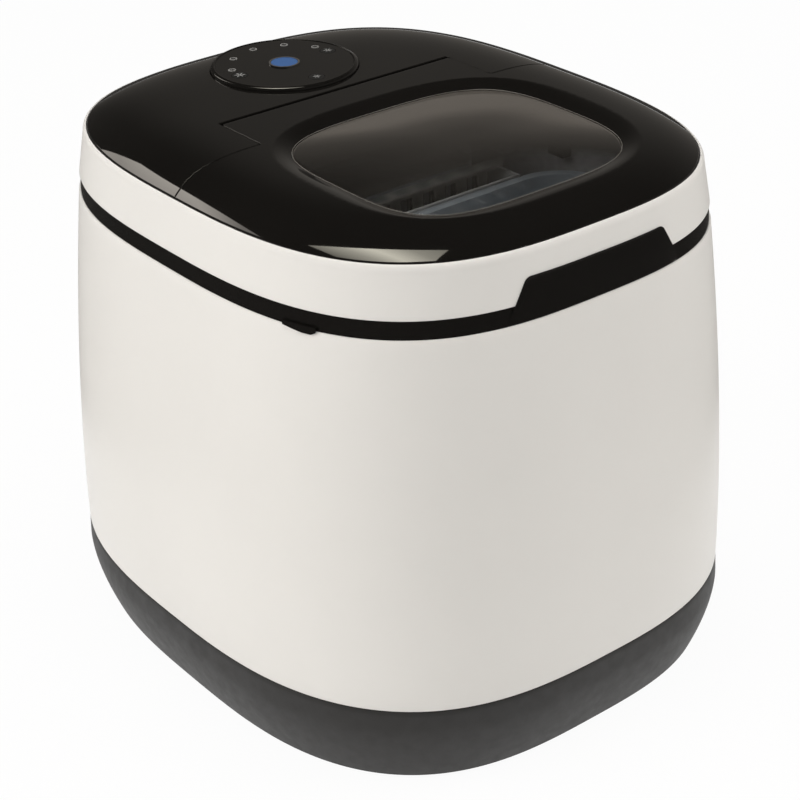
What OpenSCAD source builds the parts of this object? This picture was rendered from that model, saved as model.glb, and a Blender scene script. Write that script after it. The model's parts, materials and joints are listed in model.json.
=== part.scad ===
/* [Cabinet] */
// Full width at the foot of the white shell
body_w = 361.2; // [350:0.2:380]
// Full depth at the foot of the white shell
body_d = 416; // [400:0.5:430]
// Half width lost between the foot and the top of the shell
shell_taper_x = 17.2; // [15:0.1:21]
// Half depth lost between the foot and the top of the shell
shell_taper_y = 15; // [12:0.1:18]
// Height of the line where shell meets skirt
skirt_top = 58; // [50:1:62]
// Height of the underside of the base pan
pan_bottom = 3; // [2:0.5:5]
// Thickness of the base pan floor
pan_floor = 4; // [3:0.5:6]
// Wall of the white shell
shell_wall = 2.5; // [2:0.1:3.5]
// Wall of the dark skirt
skirt_wall = 3; // [2.5:0.1:4]

/* [Top ring and band] */
// Height where the black band starts
band_bottom = 295; // [285:1:300]
// Height of the black band
band_h = 11; // [8:0.5:12]
// How far the band lies behind the white surfaces
band_step = 0.8; // [0.4:0.1:1.2]
// Height of the outer edge of the white ring
ring_edge_z = 332.3; // [331:0.5:334]
// Height of the inner edge of the white ring
ring_top_z = 336.7; // [335.5:0.1:338]
// Width of the bare front plate where it leaves the band
plate_w = 123; // [100:1:140]
// Height of the top edge of the front plate
plate_top = 321; // [316:1:325]

/* [Deck and lid] */
// Height of the flat middle of the crowned deck
crown_z = 351; // [350:0.1:352]
// Share of the plan that stays flat before the crown falls away
crown_flat = 0.5; // [0.4:0.05:0.6]
// Thickness of the deck and lid skin
skin = 2.6; // [2.2:0.1:3]
// Place of the seam between lid and rear deck
seam_y = 3.5; // [-4:0.5:6]
// Width of the lid's rear tongue
tongue_w = 178.6; // [160:1:190]
// Place of the hinge axis
hinge_y = 44.5; // [42:0.5:46]
// Height of the hinge axis
hinge_z = 347.5; // [347:0.1:348]
// Radius of a hinge pin
pin_r = 1.5; // [1.2:0.1:1.7]
// Radial play of the lid on its pins
pin_play = 0.05; // [0.03:0.01:0.08]
// Width of the smoked window
win_w = 178; // [165:1:182]
// Front to back length of the window
win_d = 154.6; // [145:0.2:158]
// Width of the dished recess around the window
recess_w = 206; // [196:1:208]
// Front to back length of the recess
recess_d = 179; // [172:1:182]
// Depth of the recess at the window edge
recess_h = 4.5; // [3:0.1:5]

/* [Control panel] */
// Place of the panel centre behind the cabinet centre
panel_y = 104; // [100:1:108]
// Radius of the bezel
bezel_r = 48; // [46:0.5:50]
// Height of the top of the bezel
bezel_top = 353.6; // [353:0.1:354.5]
// Radius of the circle of lights and keys
mark_r = 35; // [34:0.5:36]
// Radius of a key cap
key_r = 5; // [4.5:0.1:5.5]
// Travel of a key
key_travel = 0.8; // [0.5:0.1:0.9]
// Radius of the badge ring
badge_r = 10; // [9:0.5:11]

/* [Ice making] */
// Width of the tub inside
tub_w = 239; // [230:1:242]
// Height of the tub floor
tub_floor = 120; // [115:1:125]
// Thickness of the tub wall
tub_wall = 2.5; // [2:0.1:3]
// Thickness of the foam jacket
foam = 12; // [8:1:13]
// Width of the ice basket
basket_w = 214; // [200:1:218]
// Number of freezing fingers
fingers = 9; // [6:1:9]
// Radius of the fan blade
fan_r = 50; // [44:1:51]
// Radius of the compressor pot
pot_r = 52; // [46:1:53]

/* [Hidden] */

// Fit between pieces that stand still
snug = 0.15;
// Gap around pieces that move
clear = 0.4;
// Overlap that joins two shapes of one piece
eps = 0.05;
// How far a cutter reaches past the piece it cuts
over = 20;
$fn = 64;

// ---- Outline of the cabinet: rounded oblong whose size changes with height ----
around = 80;
foot_n = 2.96;
base_n = 2.79;
top_n = 2.95;
base_a = body_w / 2;
base_b = body_d / 2;
band_top = band_bottom + band_h;
shell_h = band_bottom - skirt_top;
shell_a = base_a - shell_taper_x;
shell_b = base_b - shell_taper_y;
ring_a = shell_a - 1;
ring_b = shell_b - 1;
edge_a = shell_a - 5.8;
edge_b = shell_b - 4.3;
deck_a = edge_a - 1.8;
deck_b = edge_b - 2.7;
skirt_curl = 12.8;
skirt_turn = 44;

function grown(t) = pow(max(0, t), 1.72);
function curl(z) = skirt_curl * pow(max(0, 1 - z / skirt_turn), 1.5);
function side_t(z) = (z - skirt_top) / shell_h;
function half_w(z) = z <= skirt_top ? base_a - curl(z)
  : z <= band_bottom ? base_a - shell_taper_x * grown(side_t(z))
  : lookup(z, [[band_bottom, shell_a], [band_top, ring_a], [ring_edge_z, edge_a], [ring_top_z, deck_a]]);
function half_d(z) = z <= skirt_top ? base_b - curl(z)
  : z <= band_bottom ? base_b - shell_taper_y * grown(side_t(z))
  : lookup(z, [[band_bottom, shell_b], [band_top, ring_b], [ring_edge_z, edge_b], [ring_top_z, deck_b]]);
function squareness(z) = lookup(z, [[0, foot_n], [skirt_top, base_n], [band_bottom, top_n], [400, top_n]]);

function polar(a, b, n, p) = pow(pow(abs(cos(p) / a), n) + pow(abs(sin(p) / b), n), -1 / n);
function oblong(a, b, n, cy = 0) = [for (i = [0 : around - 1])
  let (p = 360 * i / around, r = polar(a, b, n, p)) [r * cos(p), r * sin(p) + cy]];
function level(z, inset = 0) = [for (q = oblong(half_w(z) - inset, half_d(z) - inset, squareness(z)))
  [q.x, q.y, z]];
function levels(zs, inset = 0) = [for (z = zs) level(z, inset)];
function ring_at(a, b, z, n = top_n) = [for (q = oblong(a, b, n)) [q.x, q.y, z]];

// Triangles between consecutive rings of equal length
function bands(count, n, closed) = [for (k = [0 : count - (closed ? 1 : 2)], i = [0 : n - 1])
  let (j = (i + 1) % n, m = (k + 1) % count)
  each [[k * n + i, m * n + i, m * n + j], [k * n + i, m * n + j, k * n + j]]];

// Closed skin whose cross section is the loop of rings
module hoop(rings) {
  polyhedron([for (r = rings) each r], bands(len(rings), len(rings[0]), true), convexity = 6);
}

// Solid through a stack of rings
module loft(rings) {
  n = len(rings[0]);
  last = (len(rings) - 1) * n;
  caps = [[for (i = [0 : n - 1]) i], [for (i = [n - 1 : -1 : 0]) last + i]];
  polyhedron([for (r = rings) each r], concat(bands(len(rings), n, false), caps), convexity = 6);
}

function reversed(list) = [for (i = [len(list) - 1 : -1 : 0]) list[i]];

// Wall that follows the cabinet between two insets
module wall(zs, outer, inner) {
  hoop(concat(levels(zs, outer), levels(reversed(zs), inner)));
}

// Plate with round corners
module rounded(w, d, r) {
  union() {
    square([w - 2 * r, d], center = true);
    square([w, d - 2 * r], center = true);
    for (x = [-1, 1], y = [-1, 1]) translate([x * (w / 2 - r), y * (d / 2 - r)]) circle(r);
  }
}

module block(x0, x1, y0, y1, z0, z1) {
  translate([x0, y0, z0]) cube([x1 - x0, y1 - y0, z1 - z0]);
}

module rod(r, z0, z1) {
  translate([0, 0, z0]) cylinder(r = r, h = z1 - z0);
}

module along_x(x, y, z) {
  translate([x, y, z]) rotate([0, 90, 0]) children();
}

// Block between two distances from the middle, on the right for side 1 and on the left for side -1
module side_block(side, near, far, y0, y1, z0, z1) {
  block(side > 0 ? near : -far, side > 0 ? far : -near, y0, y1, z0, z1);
}

module along_y(x, y, z) {
  translate([x, y, z]) rotate([-90, 0, 0]) children();
}

// Bent tube: straight runs between points, each corner rounded by a fan of rings
tube_sides = 12;
function unit(v) = v / norm(v);
function corner(p, q, r, bend, s) =
  let (u = unit(p - q), w = unit(r - q), half = acos(u * w) / 2, reach = bend / tan(half),
       centre = q + unit(u + w) * bend / sin(half), a = q + u * reach - centre, b = q + w * reach - centre,
       turn = 180 - 2 * half)
  [for (i = [0 : s]) centre + a * sin(turn * (s - i) / s) / sin(turn) + b * sin(turn * i / s) / sin(turn)];
function route(points, bend, s) = concat([points[0]],
  [for (i = [1 : len(points) - 2]) each corner(points[i - 1], points[i], points[i + 1], bend, s)],
  [points[len(points) - 1]]);
function carried(v, t) = unit(v - t * (v * t));
function frames(path, i, v) = let (t = unit((i < len(path) - 1 ? path[i + 1] : path[i])
  - (i > 0 ? path[i - 1] : path[i])), u = carried(v, t))
  i == len(path) - 1 ? [[u, cross(t, u)]] : concat([[u, cross(t, u)]], frames(path, i + 1, u));
module tube(points, r, bend = 10, s = 4, up = [0.31, 0.52, 0.79]) {
  path = route(points, bend, s);
  fr = frames(path, 0, up);
  loft([for (i = [0 : len(path) - 1]) [for (k = [0 : tube_sides - 1]) let (p = -360 * k / tube_sides)
    path[i] + r * (cos(p) * fr[i][1] + sin(p) * fr[i][0])]]);
}

// ---- Crowned deck ----
lid_gap = 0.6;
rim_a = deck_a - 0.2 - lid_gap;
rim_b = deck_b - 0.2 - lid_gap;
crown_h = crown_z - ring_top_z;
crown_fall = 3.6;
win_n = 3.5;
rec_n = 2.88;
win_cy = -69;
rec_cy = -69;
ledge_z = ring_top_z - 5.4;
ledge_in = 7;

function rho(x, y) = pow(pow(abs(x) / deck_a, top_n) + pow(abs(y) / deck_b, top_n), 1 / top_n);
function crown(x, y) = crown_z - crown_h * pow(max(0, rho(x, y) - crown_flat) / (1 - crown_flat), crown_fall);
function eased(s) = s * s * (3 - 2 * s);
function raised(pts, drop) = [for (q = pts) [q.x, q.y, crown(q.x, q.y) - drop]];
function between(p, q, t) = [for (i = [0 : len(p) - 1]) p[i] * (1 - t) + q[i] * t];
rim_pts = oblong(rim_a, rim_b, top_n);
rec_pts = oblong(recess_w / 2, recess_d / 2, rec_n, rec_cy);
win_pts = oblong(win_w / 2, win_d / 2, win_n, win_cy);
function deck_line(t, drop) = raised(between(rim_pts, rec_pts, t), drop);
function dish_line(s, drop) = raised(between(rec_pts, win_pts, s), drop + recess_h * eased(s));
deck_ts = [0, 0.1, 0.22, 0.36, 0.52, 0.75, 1];
dish_ss = [0.3, 0.65, 1];

// Whole crowned skin with the window opening; the foot of its rim is at the given height
module deck_skin(foot) {
  hoop(concat(
    [ring_at(rim_a - 0.4, rim_b - 0.4, foot)],
    [for (t = deck_ts) deck_line(t, 0)],
    [for (s = dish_ss) dish_line(s, 0)],
    [for (s = reversed(dish_ss)) dish_line(s, skin)],
    [for (t = [1, 0.75, 0.52, 0.3, 0.12]) deck_line(t, skin)],
    [ring_at(rim_a - skin - 0.4, rim_b - skin - 0.4, foot)]));
}

// Everything under the crowned surface, lowered by drop
module under_crown(drop) {
  mid = [for (q = oblong(10, 10, 2)) [q.x, q.y, crown_z - drop]];
  loft(concat([ring_at(rim_a, rim_b, 300)], [for (t = [0, 0.1, 0.22, 0.36, 0.52, 0.75, 1])
    raised(between(rim_pts, oblong(10, 10, 2), t), drop)]));
}

module lid_area(g) {
  union() {
    translate([-body_w / 2, -body_d / 2]) square([body_w, body_d / 2 + seam_y + g]);
    translate([-tongue_w / 2 - g, 0]) square([tongue_w + 2 * g, hinge_y]);
  }
}

// ---- Base ----
skirt_zs = [pan_bottom, 7, 12, 18, 25, 34, 44, skirt_top];
foot_x = 118;
foot_y = 132;
pan_top = pan_bottom + pan_floor;
lip_top = skirt_top + 6.6;
lip_t = 3.2;
pan_zs = [12, 18, 25, 34, 44];
stud_hole = 4.1;
drain_y = -40;
drain_z = 96;
drain_r = 13;
intake_x = 55;
pump_x = -60;

module base_pan() {
  color([0.17, 0.165, 0.16]) difference() {
    union() {
      difference() {
        loft(levels(skirt_zs));
        loft(levels(concat([pan_top], pan_zs, [skirt_top + 1]), skirt_wall));
      }
      wall([46, skirt_top, lip_top], shell_wall + snug, shell_wall + lip_t);
      wall([pan_top - 1, 12, 18, 25, 34, 46], skirt_wall - 0.5, shell_wall + lip_t);
    }
    for (x = [-foot_x, foot_x], y = [-foot_y, foot_y]) translate([x, y]) rod(stud_hole, 0, 20);
    for (i = [0 : 7]) let (x = intake_x - 52 + 13 * i) block(x, x + 6, 60, 104, 0, pan_top + 1);
    for (x = case_screw_x) case_screw_at(x) rod(screw_r + pin_play, -12, 6);
  }
}

module foot_pads() {
  color([0.12, 0.12, 0.12]) for (x = [-foot_x, foot_x], y = [-foot_y, foot_y]) translate([x, y]) {
    rod(14, 0, pan_bottom);
    rod(stud_hole - 0.1, pan_bottom - eps, pan_top);
    rod(6, pan_top, pan_top + 2);
  }
}

// ---- White shell ----
shell_zs = [skirt_top, skirt_top + 10, 96, 136, 176, 216, 256, band_bottom];
grille_w = 190;
grille_z0 = 112;
grille_z1 = 240;
grille_y = base_b - 87.5;
inlet_z = 85;
inlet_w = 50;
inlet_h = 32;
case_screw_x = [-64, 0, 64];
screw_r = 1.6;
screw_z = skirt_top + 4;

function back_y(x, z) = let (a = half_w(z), b = half_d(z), n = squareness(z))
  b * pow(1 - pow(abs(x) / a, n), 1 / n);

module case_screw_at(x) {
  along_y(x, back_y(x, screw_z) - 1.3, screw_z) children();
}

module main_shell() {
  color([0.9, 0.89, 0.87]) difference() {
    wall(shell_zs, 0, shell_wall);
    block(-grille_w / 2, grille_w / 2, grille_y, base_b + over, grille_z0, grille_z1);
    block(-inlet_w / 2, inlet_w / 2, grille_y, base_b + over, inlet_z - inlet_h / 2, inlet_z + inlet_h / 2);
    along_x(base_a - 2 * over, drain_y, drain_z) rod(drain_r + 2, 0, 3 * over);
    for (x = case_screw_x) case_screw_at(x) {
      rod(screw_r + pin_play, -6, 1);
      rod(3.6, 0, 6);
    }
  }
}

module case_screws() {
  color([0.75, 0.75, 0.76]) for (x = case_screw_x) case_screw_at(x) screw(9);
}

// Pan head screw: head above the origin, shank below
module screw(length) {
  difference() {
    union() {
      rod(3.2, 0, 1.3);
      rod(screw_r, -length, eps);
    }
    translate([-2, -0.35, 0.6]) cube([4, 0.7, 2]);
    translate([-0.35, -2, 0.6]) cube([0.7, 4, 2]);
  }
}

slot_pitch = 9;
grille_zs = [96, 136, 176, 216, 256];
grille_flange = 5;

module rear_grille() {
  w = grille_w / 2 - snug;
  f = grille_flange;
  color([0.14, 0.14, 0.14]) difference() {
    union() {
      intersection() {
        wall(grille_zs, 0, shell_wall + 1);
        block(-w, w, grille_y, base_b + over, grille_z0 + snug, grille_z1 - snug);
      }
      intersection() {
        wall(grille_zs, shell_wall + 0.1, shell_wall + 1.8);
        block(-w - f, w + f, grille_y, base_b + over, grille_z0 - f, grille_z1 + f);
      }
    }
    for (row = [0 : 11], col = [-1 : 1]) let (z = grille_z0 + 12 + row * slot_pitch)
      block(col * 60 - 26, col * 60 + 26, grille_y - over, base_b + over, z, z + 4.6);
  }
}

module power_inlet() {
  face = back_y(0, inlet_z) - 1;
  half = inlet_w / 2;
  low = inlet_z - inlet_h / 2;
  high = inlet_z + inlet_h / 2;
  rear = back_y(half + 4, high + 4) - shell_wall - snug;
  color([0.1, 0.1, 0.1]) difference() {
    union() {
      block(-half + snug, half - snug, rear - 2, face, low + snug, high - snug);
      block(-half - 4, half + 4, rear - 4, rear, low - 4, high + 4);
      block(-14, 14, rear - 22, rear - 3, inlet_z - 11, inlet_z + 11);
    }
    difference() {
      block(-12, 12, rear - 18, face + 1, inlet_z - 8.5, inlet_z + 8.5);
      for (i = [-1, 0, 1]) let (z = inlet_z + (i == 0 ? 4 : 0))
        block(i * 7 - 1, i * 7 + 1, rear - 19, face - 5, z - 2, z + 2);
    }
    for (x = [-20, 20]) along_y(x, face - 12, inlet_z) rod(1.7, 0, 20);
  }
}

// ---- Trim band, ring, front plate ----
band_spigot = 7;
band_inner = 6.5;
plate_foot = plate_w / 2 + 3.5;
plate_corner = 5.5;
plate_r_x = plate_w / 2 - 13;
plate_proud = 0.6;

function arc(cx, cy, r, a0, a1, n) = [for (i = [0 : n]) let (a = a0 + (a1 - a0) * i / n)
  [cx + r * cos(a), cy + r * sin(a)]];

// Outline of the front plate seen from the front
module plate_outline() {
  right = concat([[plate_foot, band_bottom - 1], [plate_w / 2, band_bottom + 9]],
    arc(plate_r_x, plate_top - plate_corner, plate_corner, 32, 90, 8));
  polygon(concat(right, [for (q = reversed(right)) [-q.x, q.y]]));
}

module trim_band() {
  color([0.05, 0.05, 0.05]) hoop(concat(
    levels([band_bottom - band_spigot, band_bottom], shell_wall + snug),
    levels([band_bottom, band_top], band_step),
    levels([band_top, band_bottom, band_bottom - band_spigot], band_inner)));
}

module upper_ring() {
  color([0.92, 0.91, 0.89]) difference() {
    hoop(concat(
      levels([band_top, ring_edge_z, ring_top_z]),
      [for (z = [ring_top_z - 0.3, ledge_z]) ring_at(deck_a - 0.2, deck_b - 0.2, z)],
      [for (z = [ledge_z, ledge_z - 3]) ring_at(deck_a - ledge_in, deck_b - ledge_in, z)],
      levels([ledge_z - 3, band_top], 3.2)));
    for (p = ledge_screws) translate(p) rod(screw_r + pin_play, ledge_z - 4, ledge_z - 0.6);
  }
}

module front_plate() {
  color([0.04, 0.04, 0.04]) intersection() {
    wall([band_bottom, band_top, ring_edge_z], -plate_proud, -snug / 3);
    translate([0, over - shell_b, 0]) rotate([90, 0, 0]) linear_extrude(2 * over) plate_outline();
  }
}

tab_x = -0.916 * shell_a;
tab_y = -0.6 * shell_b;
tab_drop = 1.7;

module trim_tab() {
  color([0.05, 0.05, 0.05]) intersection() {
    union() {
      wall([band_bottom - tab_drop - 0.4, band_bottom + 0.4], -1.2, -0.2);
      wall([band_bottom + 0.2, band_bottom + 2.6], -1.2, band_step - 0.05);
    }
    translate([tab_x, tab_y, band_bottom]) rotate([0, 0, -64]) rotate([90, 0, 0])
      linear_extrude(30, center = true)
      polygon([[-13.4, 2.6], [-13.4, 0.1], [0, -tab_drop], [5.5, -tab_drop], [8.5, -0.2], [8.5, 2.6]]);
  }
}

// ---- Rear deck ----
deck_boss = 4;
boss_z = 340;
hinge_gap = 3.65;
barrel_r = 3.1;
knuckle_out = tongue_w / 2 + 9.5;
pin_out = knuckle_out - 0.9;
pin_in = tongue_w / 2 - 8;

module rear_deck() {
  color([0.05, 0.05, 0.05]) difference() {
    union() {
      difference() {
        deck_skin(ledge_z);
        translate([0, 0, ledge_z - over]) linear_extrude(3 * over) lid_area(clear);
        block(-tongue_w / 2 - clear, tongue_w / 2 + clear, 0, hinge_y + hinge_gap,
          ledge_z - over, crown_z + over);
      }
      intersection() {
        under_crown(1.2);
        translate([0, panel_y]) rod(bezel_r + deck_boss, boss_z, crown_z + over);
      }
      for (s = [-1, 1]) side_block(s, tongue_w / 2 + clear, knuckle_out,
        hinge_y - 5, hinge_y + 6, hinge_z - 4, hinge_z + 1.2);
    }
    translate([0, panel_y]) rod(bezel_r + snug, frame_z, crown_z + over);
    for (s = [-1, 1]) along_x(s * (tongue_w / 2 + 4) - 6, hinge_y, hinge_z) rod(pin_r + pin_play, 0, 12);
  }
}

module hinge_pins() {
  color([0.8, 0.8, 0.82]) for (s = [-1, 1])
    along_x(min(s * pin_in, s * pin_out), hinge_y, hinge_z) rod(pin_r, 0, pin_out - pin_in);
}

// ---- Frame under the deck ----
tub_front = 37.9 - deck_b;
tub_rear = hinge_y + 1;
tub_d = tub_rear - tub_front;
tub_cy = (tub_rear + tub_front) / 2;
tub_r = 40;
frame_z = ledge_z - 3;
frame_t = 4;
frame_low = frame_z - frame_t;
flange_t = 2.5;
flange_w = 12.5;
ledge_screws = [for (p = [25, 90, 155, 205, 270, 335])
  let (r = polar(deck_a - 4.2, deck_b - 4.2, top_n, p)) [r * cos(p), r * sin(p)]];
flange_x = tub_w / 2 + 8;
tub_screws = concat([for (s = [-1, 1], y = [-95, -10]) [s * flange_x, y]],
  [for (x = [-60, 60], y = [tub_front - 8, tub_rear + 8]) [x, y]]);

module tub_prism(g, z0, z1) {
  translate([0, tub_cy, z0]) linear_extrude(z1 - z0) rounded(tub_w + 2 * g, tub_d + 2 * g, tub_r + g);
}

module top_frame() {
  color([0.2, 0.2, 0.21]) difference() {
    translate([0, 0, frame_low]) linear_extrude(frame_t) polygon(oblong(deck_a - 1.6, deck_b - 1.6, top_n));
    tub_prism(0, frame_low - 1, frame_z + 1);
    translate([0, panel_y]) rod(30, frame_low - over, frame_z + over);
    for (p = concat(ledge_screws, tub_screws)) translate(p)
      rod(screw_r + pin_play, frame_low - over, frame_z + over);
  }
}

module screw_up(p, z) {
  translate([p.x, p.y, z]) rotate([180, 0, 0]) screw(6);
}

module frame_screws() {
  color([0.75, 0.75, 0.76]) {
    for (p = ledge_screws) screw_up(p, frame_low);
    for (p = tub_screws) screw_up(p, frame_low - flange_t);
  }
}

// ---- Lid ----
flange_drop = skin + 2;
liner_t = 1.8;
liner_in = 4;
glass_t = 2.4;
dome_h = 5;
lid_screw_at = [for (i = [1, 39, 47, 73]) between(rim_pts, rec_pts, 0.7)[i]];
bumper_at = [for (i = [43, 51, 69, 77]) between(rim_pts, rec_pts, 0.34)[i]];
pane_a = win_w / 2 - snug;
pane_b = win_d / 2 - snug;
function win_line(k, drop) = raised(oblong(pane_a * k, pane_b * k, win_n, win_cy), drop);
function dome(k) = dome_h * (1 - k * k);

module lid_frame() {
  color([0.05, 0.05, 0.05]) difference() {
    union() {
      intersection() {
        deck_skin(ledge_z + clear);
        translate([0, 0, ledge_z - over]) linear_extrude(3 * over) lid_area(0);
      }
      along_x(-tongue_w / 2, hinge_y, hinge_z) rod(barrel_r, 0, tongue_w);
      intersection() {
        for (p = lid_screw_at) translate(p) rod(4.5, frame_z, crown_z);
        difference() {
          under_crown(1.2);
          under_crown(flange_drop - clear);
        }
      }
    }
    for (s = [-1, 1]) along_x(s * (tongue_w / 2 - 4) - 5, hinge_y, hinge_z) rod(pin_r + pin_play, 0, 10);
    for (p = lid_screw_at) translate(p) rod(screw_r + pin_play, frame_z, crown(p.x, p.y) - 1.6);
  }
}

module lid_window() {
  edge = recess_h + skin + snug;
  color([0.3, 0.3, 0.32, 0.6]) loft(concat(
    [for (k = [0.05, 0.4, 0.7, 0.97]) win_line(k, recess_h + glass_t - dome(k))],
    [dish_line(1, flange_drop), dish_line(0.65, flange_drop)],
    [dish_line(0.65, skin + snug), dish_line(1, skin + snug)],
    [win_line(1, edge), win_line(1, recess_h + 0.2)],
    [for (k = [0.85, 0.6, 0.35, 0.05]) win_line(k, recess_h - dome(k))]));
}

module lid_liner() {
  high = flange_drop + snug;
  low = high + liner_t;
  color([0.82, 0.83, 0.84]) difference() {
    intersection() {
      hoop(concat(
        [dish_line(1, low), dish_line(0.65, low), dish_line(0.3, low)],
        [for (t = [1, 0.75, 0.52]) deck_line(t, low)],
        [for (t = [0.52, 0.75, 1]) deck_line(t, high)],
        [dish_line(0.3, high), dish_line(0.65, high), dish_line(1, high)]));
      translate([0, 0, ledge_z - over]) linear_extrude(3 * over) union() {
        translate([-body_w / 2, -body_d / 2]) square([body_w, body_d / 2 + seam_y - liner_in]);
        translate([-tongue_w / 2 + liner_in, -over]) square([tongue_w - 2 * liner_in, hinge_y + over - 6]);
      }
    }
    for (p = lid_screw_at) translate(p) rod(screw_r + 0.2, frame_z, crown_z);
  }
}

module lid_screws() {
  color([0.75, 0.75, 0.76]) for (p = lid_screw_at)
    translate([p.x, p.y, crown(p.x, p.y) - flange_drop - liner_t - 1]) rotate([180, 0, 0]) screw(5);
}

module lid_bumpers() {
  color([0.1, 0.1, 0.1]) intersection() {
    for (p = bumper_at) translate(p) rod(4, frame_z + clear, crown_z);
    under_crown(skin + snug);
  }
}

// ---- Control panel ----
fascia_z = bezel_top - 3.6;
fascia_t = 3.2;
fascia_top = fascia_z + fascia_t;
board_z = boss_z - 6;
board_t = 1.6;
switch_h = 5.4;
key_angles = [180, 0, 270];
light_angles = [161, 125.5, 90, 54.5, 19];

module at_panel(angle, r) {
  translate([r * cos(angle), panel_y + r * sin(angle), 0]) children();
}

module control_bezel() {
  in = bezel_r - 3;
  shelf = bezel_r - 5;
  color([0.05, 0.05, 0.05]) translate([0, panel_y, 0]) rotate_extrude($fn = 96) polygon([
    [in, fascia_z], [in, bezel_top], [bezel_r - 1.8, bezel_top], [bezel_r - 0.5, bezel_top - 0.9],
    [bezel_r, bezel_top - 2.4], [bezel_r, boss_z], [bezel_r + 3, boss_z], [bezel_r + 3, boss_z - 2],
    [in, boss_z - 2], [in, board_z + board_t], [shelf, board_z + board_t], [shelf, fascia_z]]);
}

module control_fascia() {
  color([0.06, 0.06, 0.06]) difference() {
    translate([0, panel_y]) rod(bezel_r - 3 - snug, fascia_z, fascia_top);
    for (a = key_angles) at_panel(a, mark_r) rod(key_r + 0.3, fascia_z - 1, fascia_top + 1);
    for (a = light_angles) at_panel(a, mark_r) rod(1.7, fascia_z - 1, fascia_top + 1);
  }
}

module badge_ring() {
  color([0.8, 0.8, 0.82]) translate([0, panel_y]) difference() {
    rod(badge_r, fascia_top, fascia_top + 0.8);
    rod(badge_r - 1.2, fascia_top - 1, fascia_top + 1);
  }
}

module badge_plate() {
  color([0.12, 0.35, 0.75]) translate([0, panel_y]) rod(badge_r - 1.2 - snug, fascia_top, fascia_top + 0.6);
}

module led_rims() {
  color([0.85, 0.85, 0.85]) for (a = light_angles) at_panel(a, mark_r) difference() {
    rod(2.5, fascia_top, fascia_top + 0.3);
    rod(1.8, fascia_top - 1, fascia_top + 1);
  }
}

module led_lenses() {
  color([0.75, 0.8, 0.85]) for (a = light_angles) at_panel(a, mark_r) rod(1.65, fascia_z, fascia_top + 0.2);
}

// Key cap with a raised six-armed mark of the given size
module key_cap(angle, mark) {
  at_panel(angle, mark_r) {
    rod(key_r, fascia_z - 1, fascia_top + 0.1);
    rod(key_r + 1.2, fascia_z - 3.6, fascia_z - clear);
    rod(2.6, board_z + board_t + switch_h + key_travel + clear, fascia_z - 3);
    for (a = [0, 60, 120]) rotate([0, 0, a]) block(-mark, mark, -0.3, 0.3, fascia_top, fascia_top + 0.3);
  }
}

module key_left() { color([0.08, 0.08, 0.08]) key_cap(key_angles[0], 3.6); }
module key_right() { color([0.08, 0.08, 0.08]) key_cap(key_angles[1], 3); }
module key_front() { color([0.08, 0.08, 0.08]) key_cap(key_angles[2], 2.6); }

module control_board() {
  top = board_z + board_t;
  color([0.1, 0.35, 0.18]) union() {
    translate([0, panel_y]) rod(bezel_r - 3.2, board_z, top);
    for (a = key_angles) at_panel(a, mark_r) {
      translate([-3, -3, top - eps]) cube([6, 6, switch_h - 1.5]);
      rod(1.7, top, top + switch_h);
    }
    for (a = light_angles) at_panel(a, mark_r) rod(1.4, top - eps, fascia_z - 0.2);
    block(-12, 12, panel_y - 9, panel_y + 5, top - eps, top + 3);
  }
}

// ---- Tub ----
tray_y = 14;
tray_z = 292;
tray_len = 176;
pivot_r = 4;
pivot_play = 0.05;
pipe_z = 299;
pipe_xs = [-70, -52];
hose_x = 72;
hose_r = 4;
hose_z = 306;
rest_z = 297.6;
drain_x = 95;
pot_y = base_b - 87;
pump_y = pot_y - 122;
inlet_r = 5;

// Holes through the tub and its jacket, grown by g
module tub_holes(g) {
  for (x = pipe_xs) along_y(x, 30, pipe_z) rod(3 + g, 0, 40);
  along_y(hose_x, 30, hose_z) rod(hose_r + g, 0, 40);
}

module tank_liner() {
  color([0.78, 0.82, 0.86]) difference() {
    union() {
      difference() {
        union() {
          tub_prism(tub_wall, tub_floor - tub_wall, frame_low);
          tub_prism(flange_w, frame_low - flange_t, frame_low);
        }
        tub_prism(0, tub_floor, frame_low + 1);
      }
      for (s = [-1, 1], y = [-104, -72]) side_block(s, 110, 120, y, y + 6, rest_z - 14, rest_z);
    }
    tub_holes(0.1);
    along_x(-130, tray_y, tray_z) rod(pivot_r + pivot_play, 0, 260);
    translate([pump_x, pump_y]) rod(inlet_r + 0.1, tub_floor - over, tub_floor + 1);
    translate([drain_x, drain_y]) rod(6 + 0.1, tub_floor - over, tub_floor + 1);
    for (p = tub_screws) translate(p) rod(screw_r + pin_play, frame_low - over, frame_z);
  }
}

module foam_jacket() {
  color([0.93, 0.9, 0.78]) difference() {
    tub_prism(tub_wall + foam, tub_floor + 10, frame_low - 7);
    tub_prism(tub_wall + eps, tub_floor - over, frame_z);
    tub_holes(1);
    block(motor_x - 12, motor_x + 28, tray_y - 23, tray_y + 23, tray_z - 23, frame_z);
    along_x(-motor_x - 28, tray_y, tray_z) rod(8, 0, 40);
  }
}

// ---- Ice basket and scoop ----
basket_y0 = tub_front + 5;
basket_y1 = tray_y - 62;
basket_cy = (basket_y0 + basket_y1) / 2;
basket_z0 = 196;
basket_z1 = 300;
basket_t = 2;
basket_r = 34;

module basket_prism(g, z0, z1) {
  translate([0, basket_cy, z0]) linear_extrude(z1 - z0)
    rounded(basket_w + 2 * g, basket_y1 - basket_y0 + 2 * g, basket_r + g);
}

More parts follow.
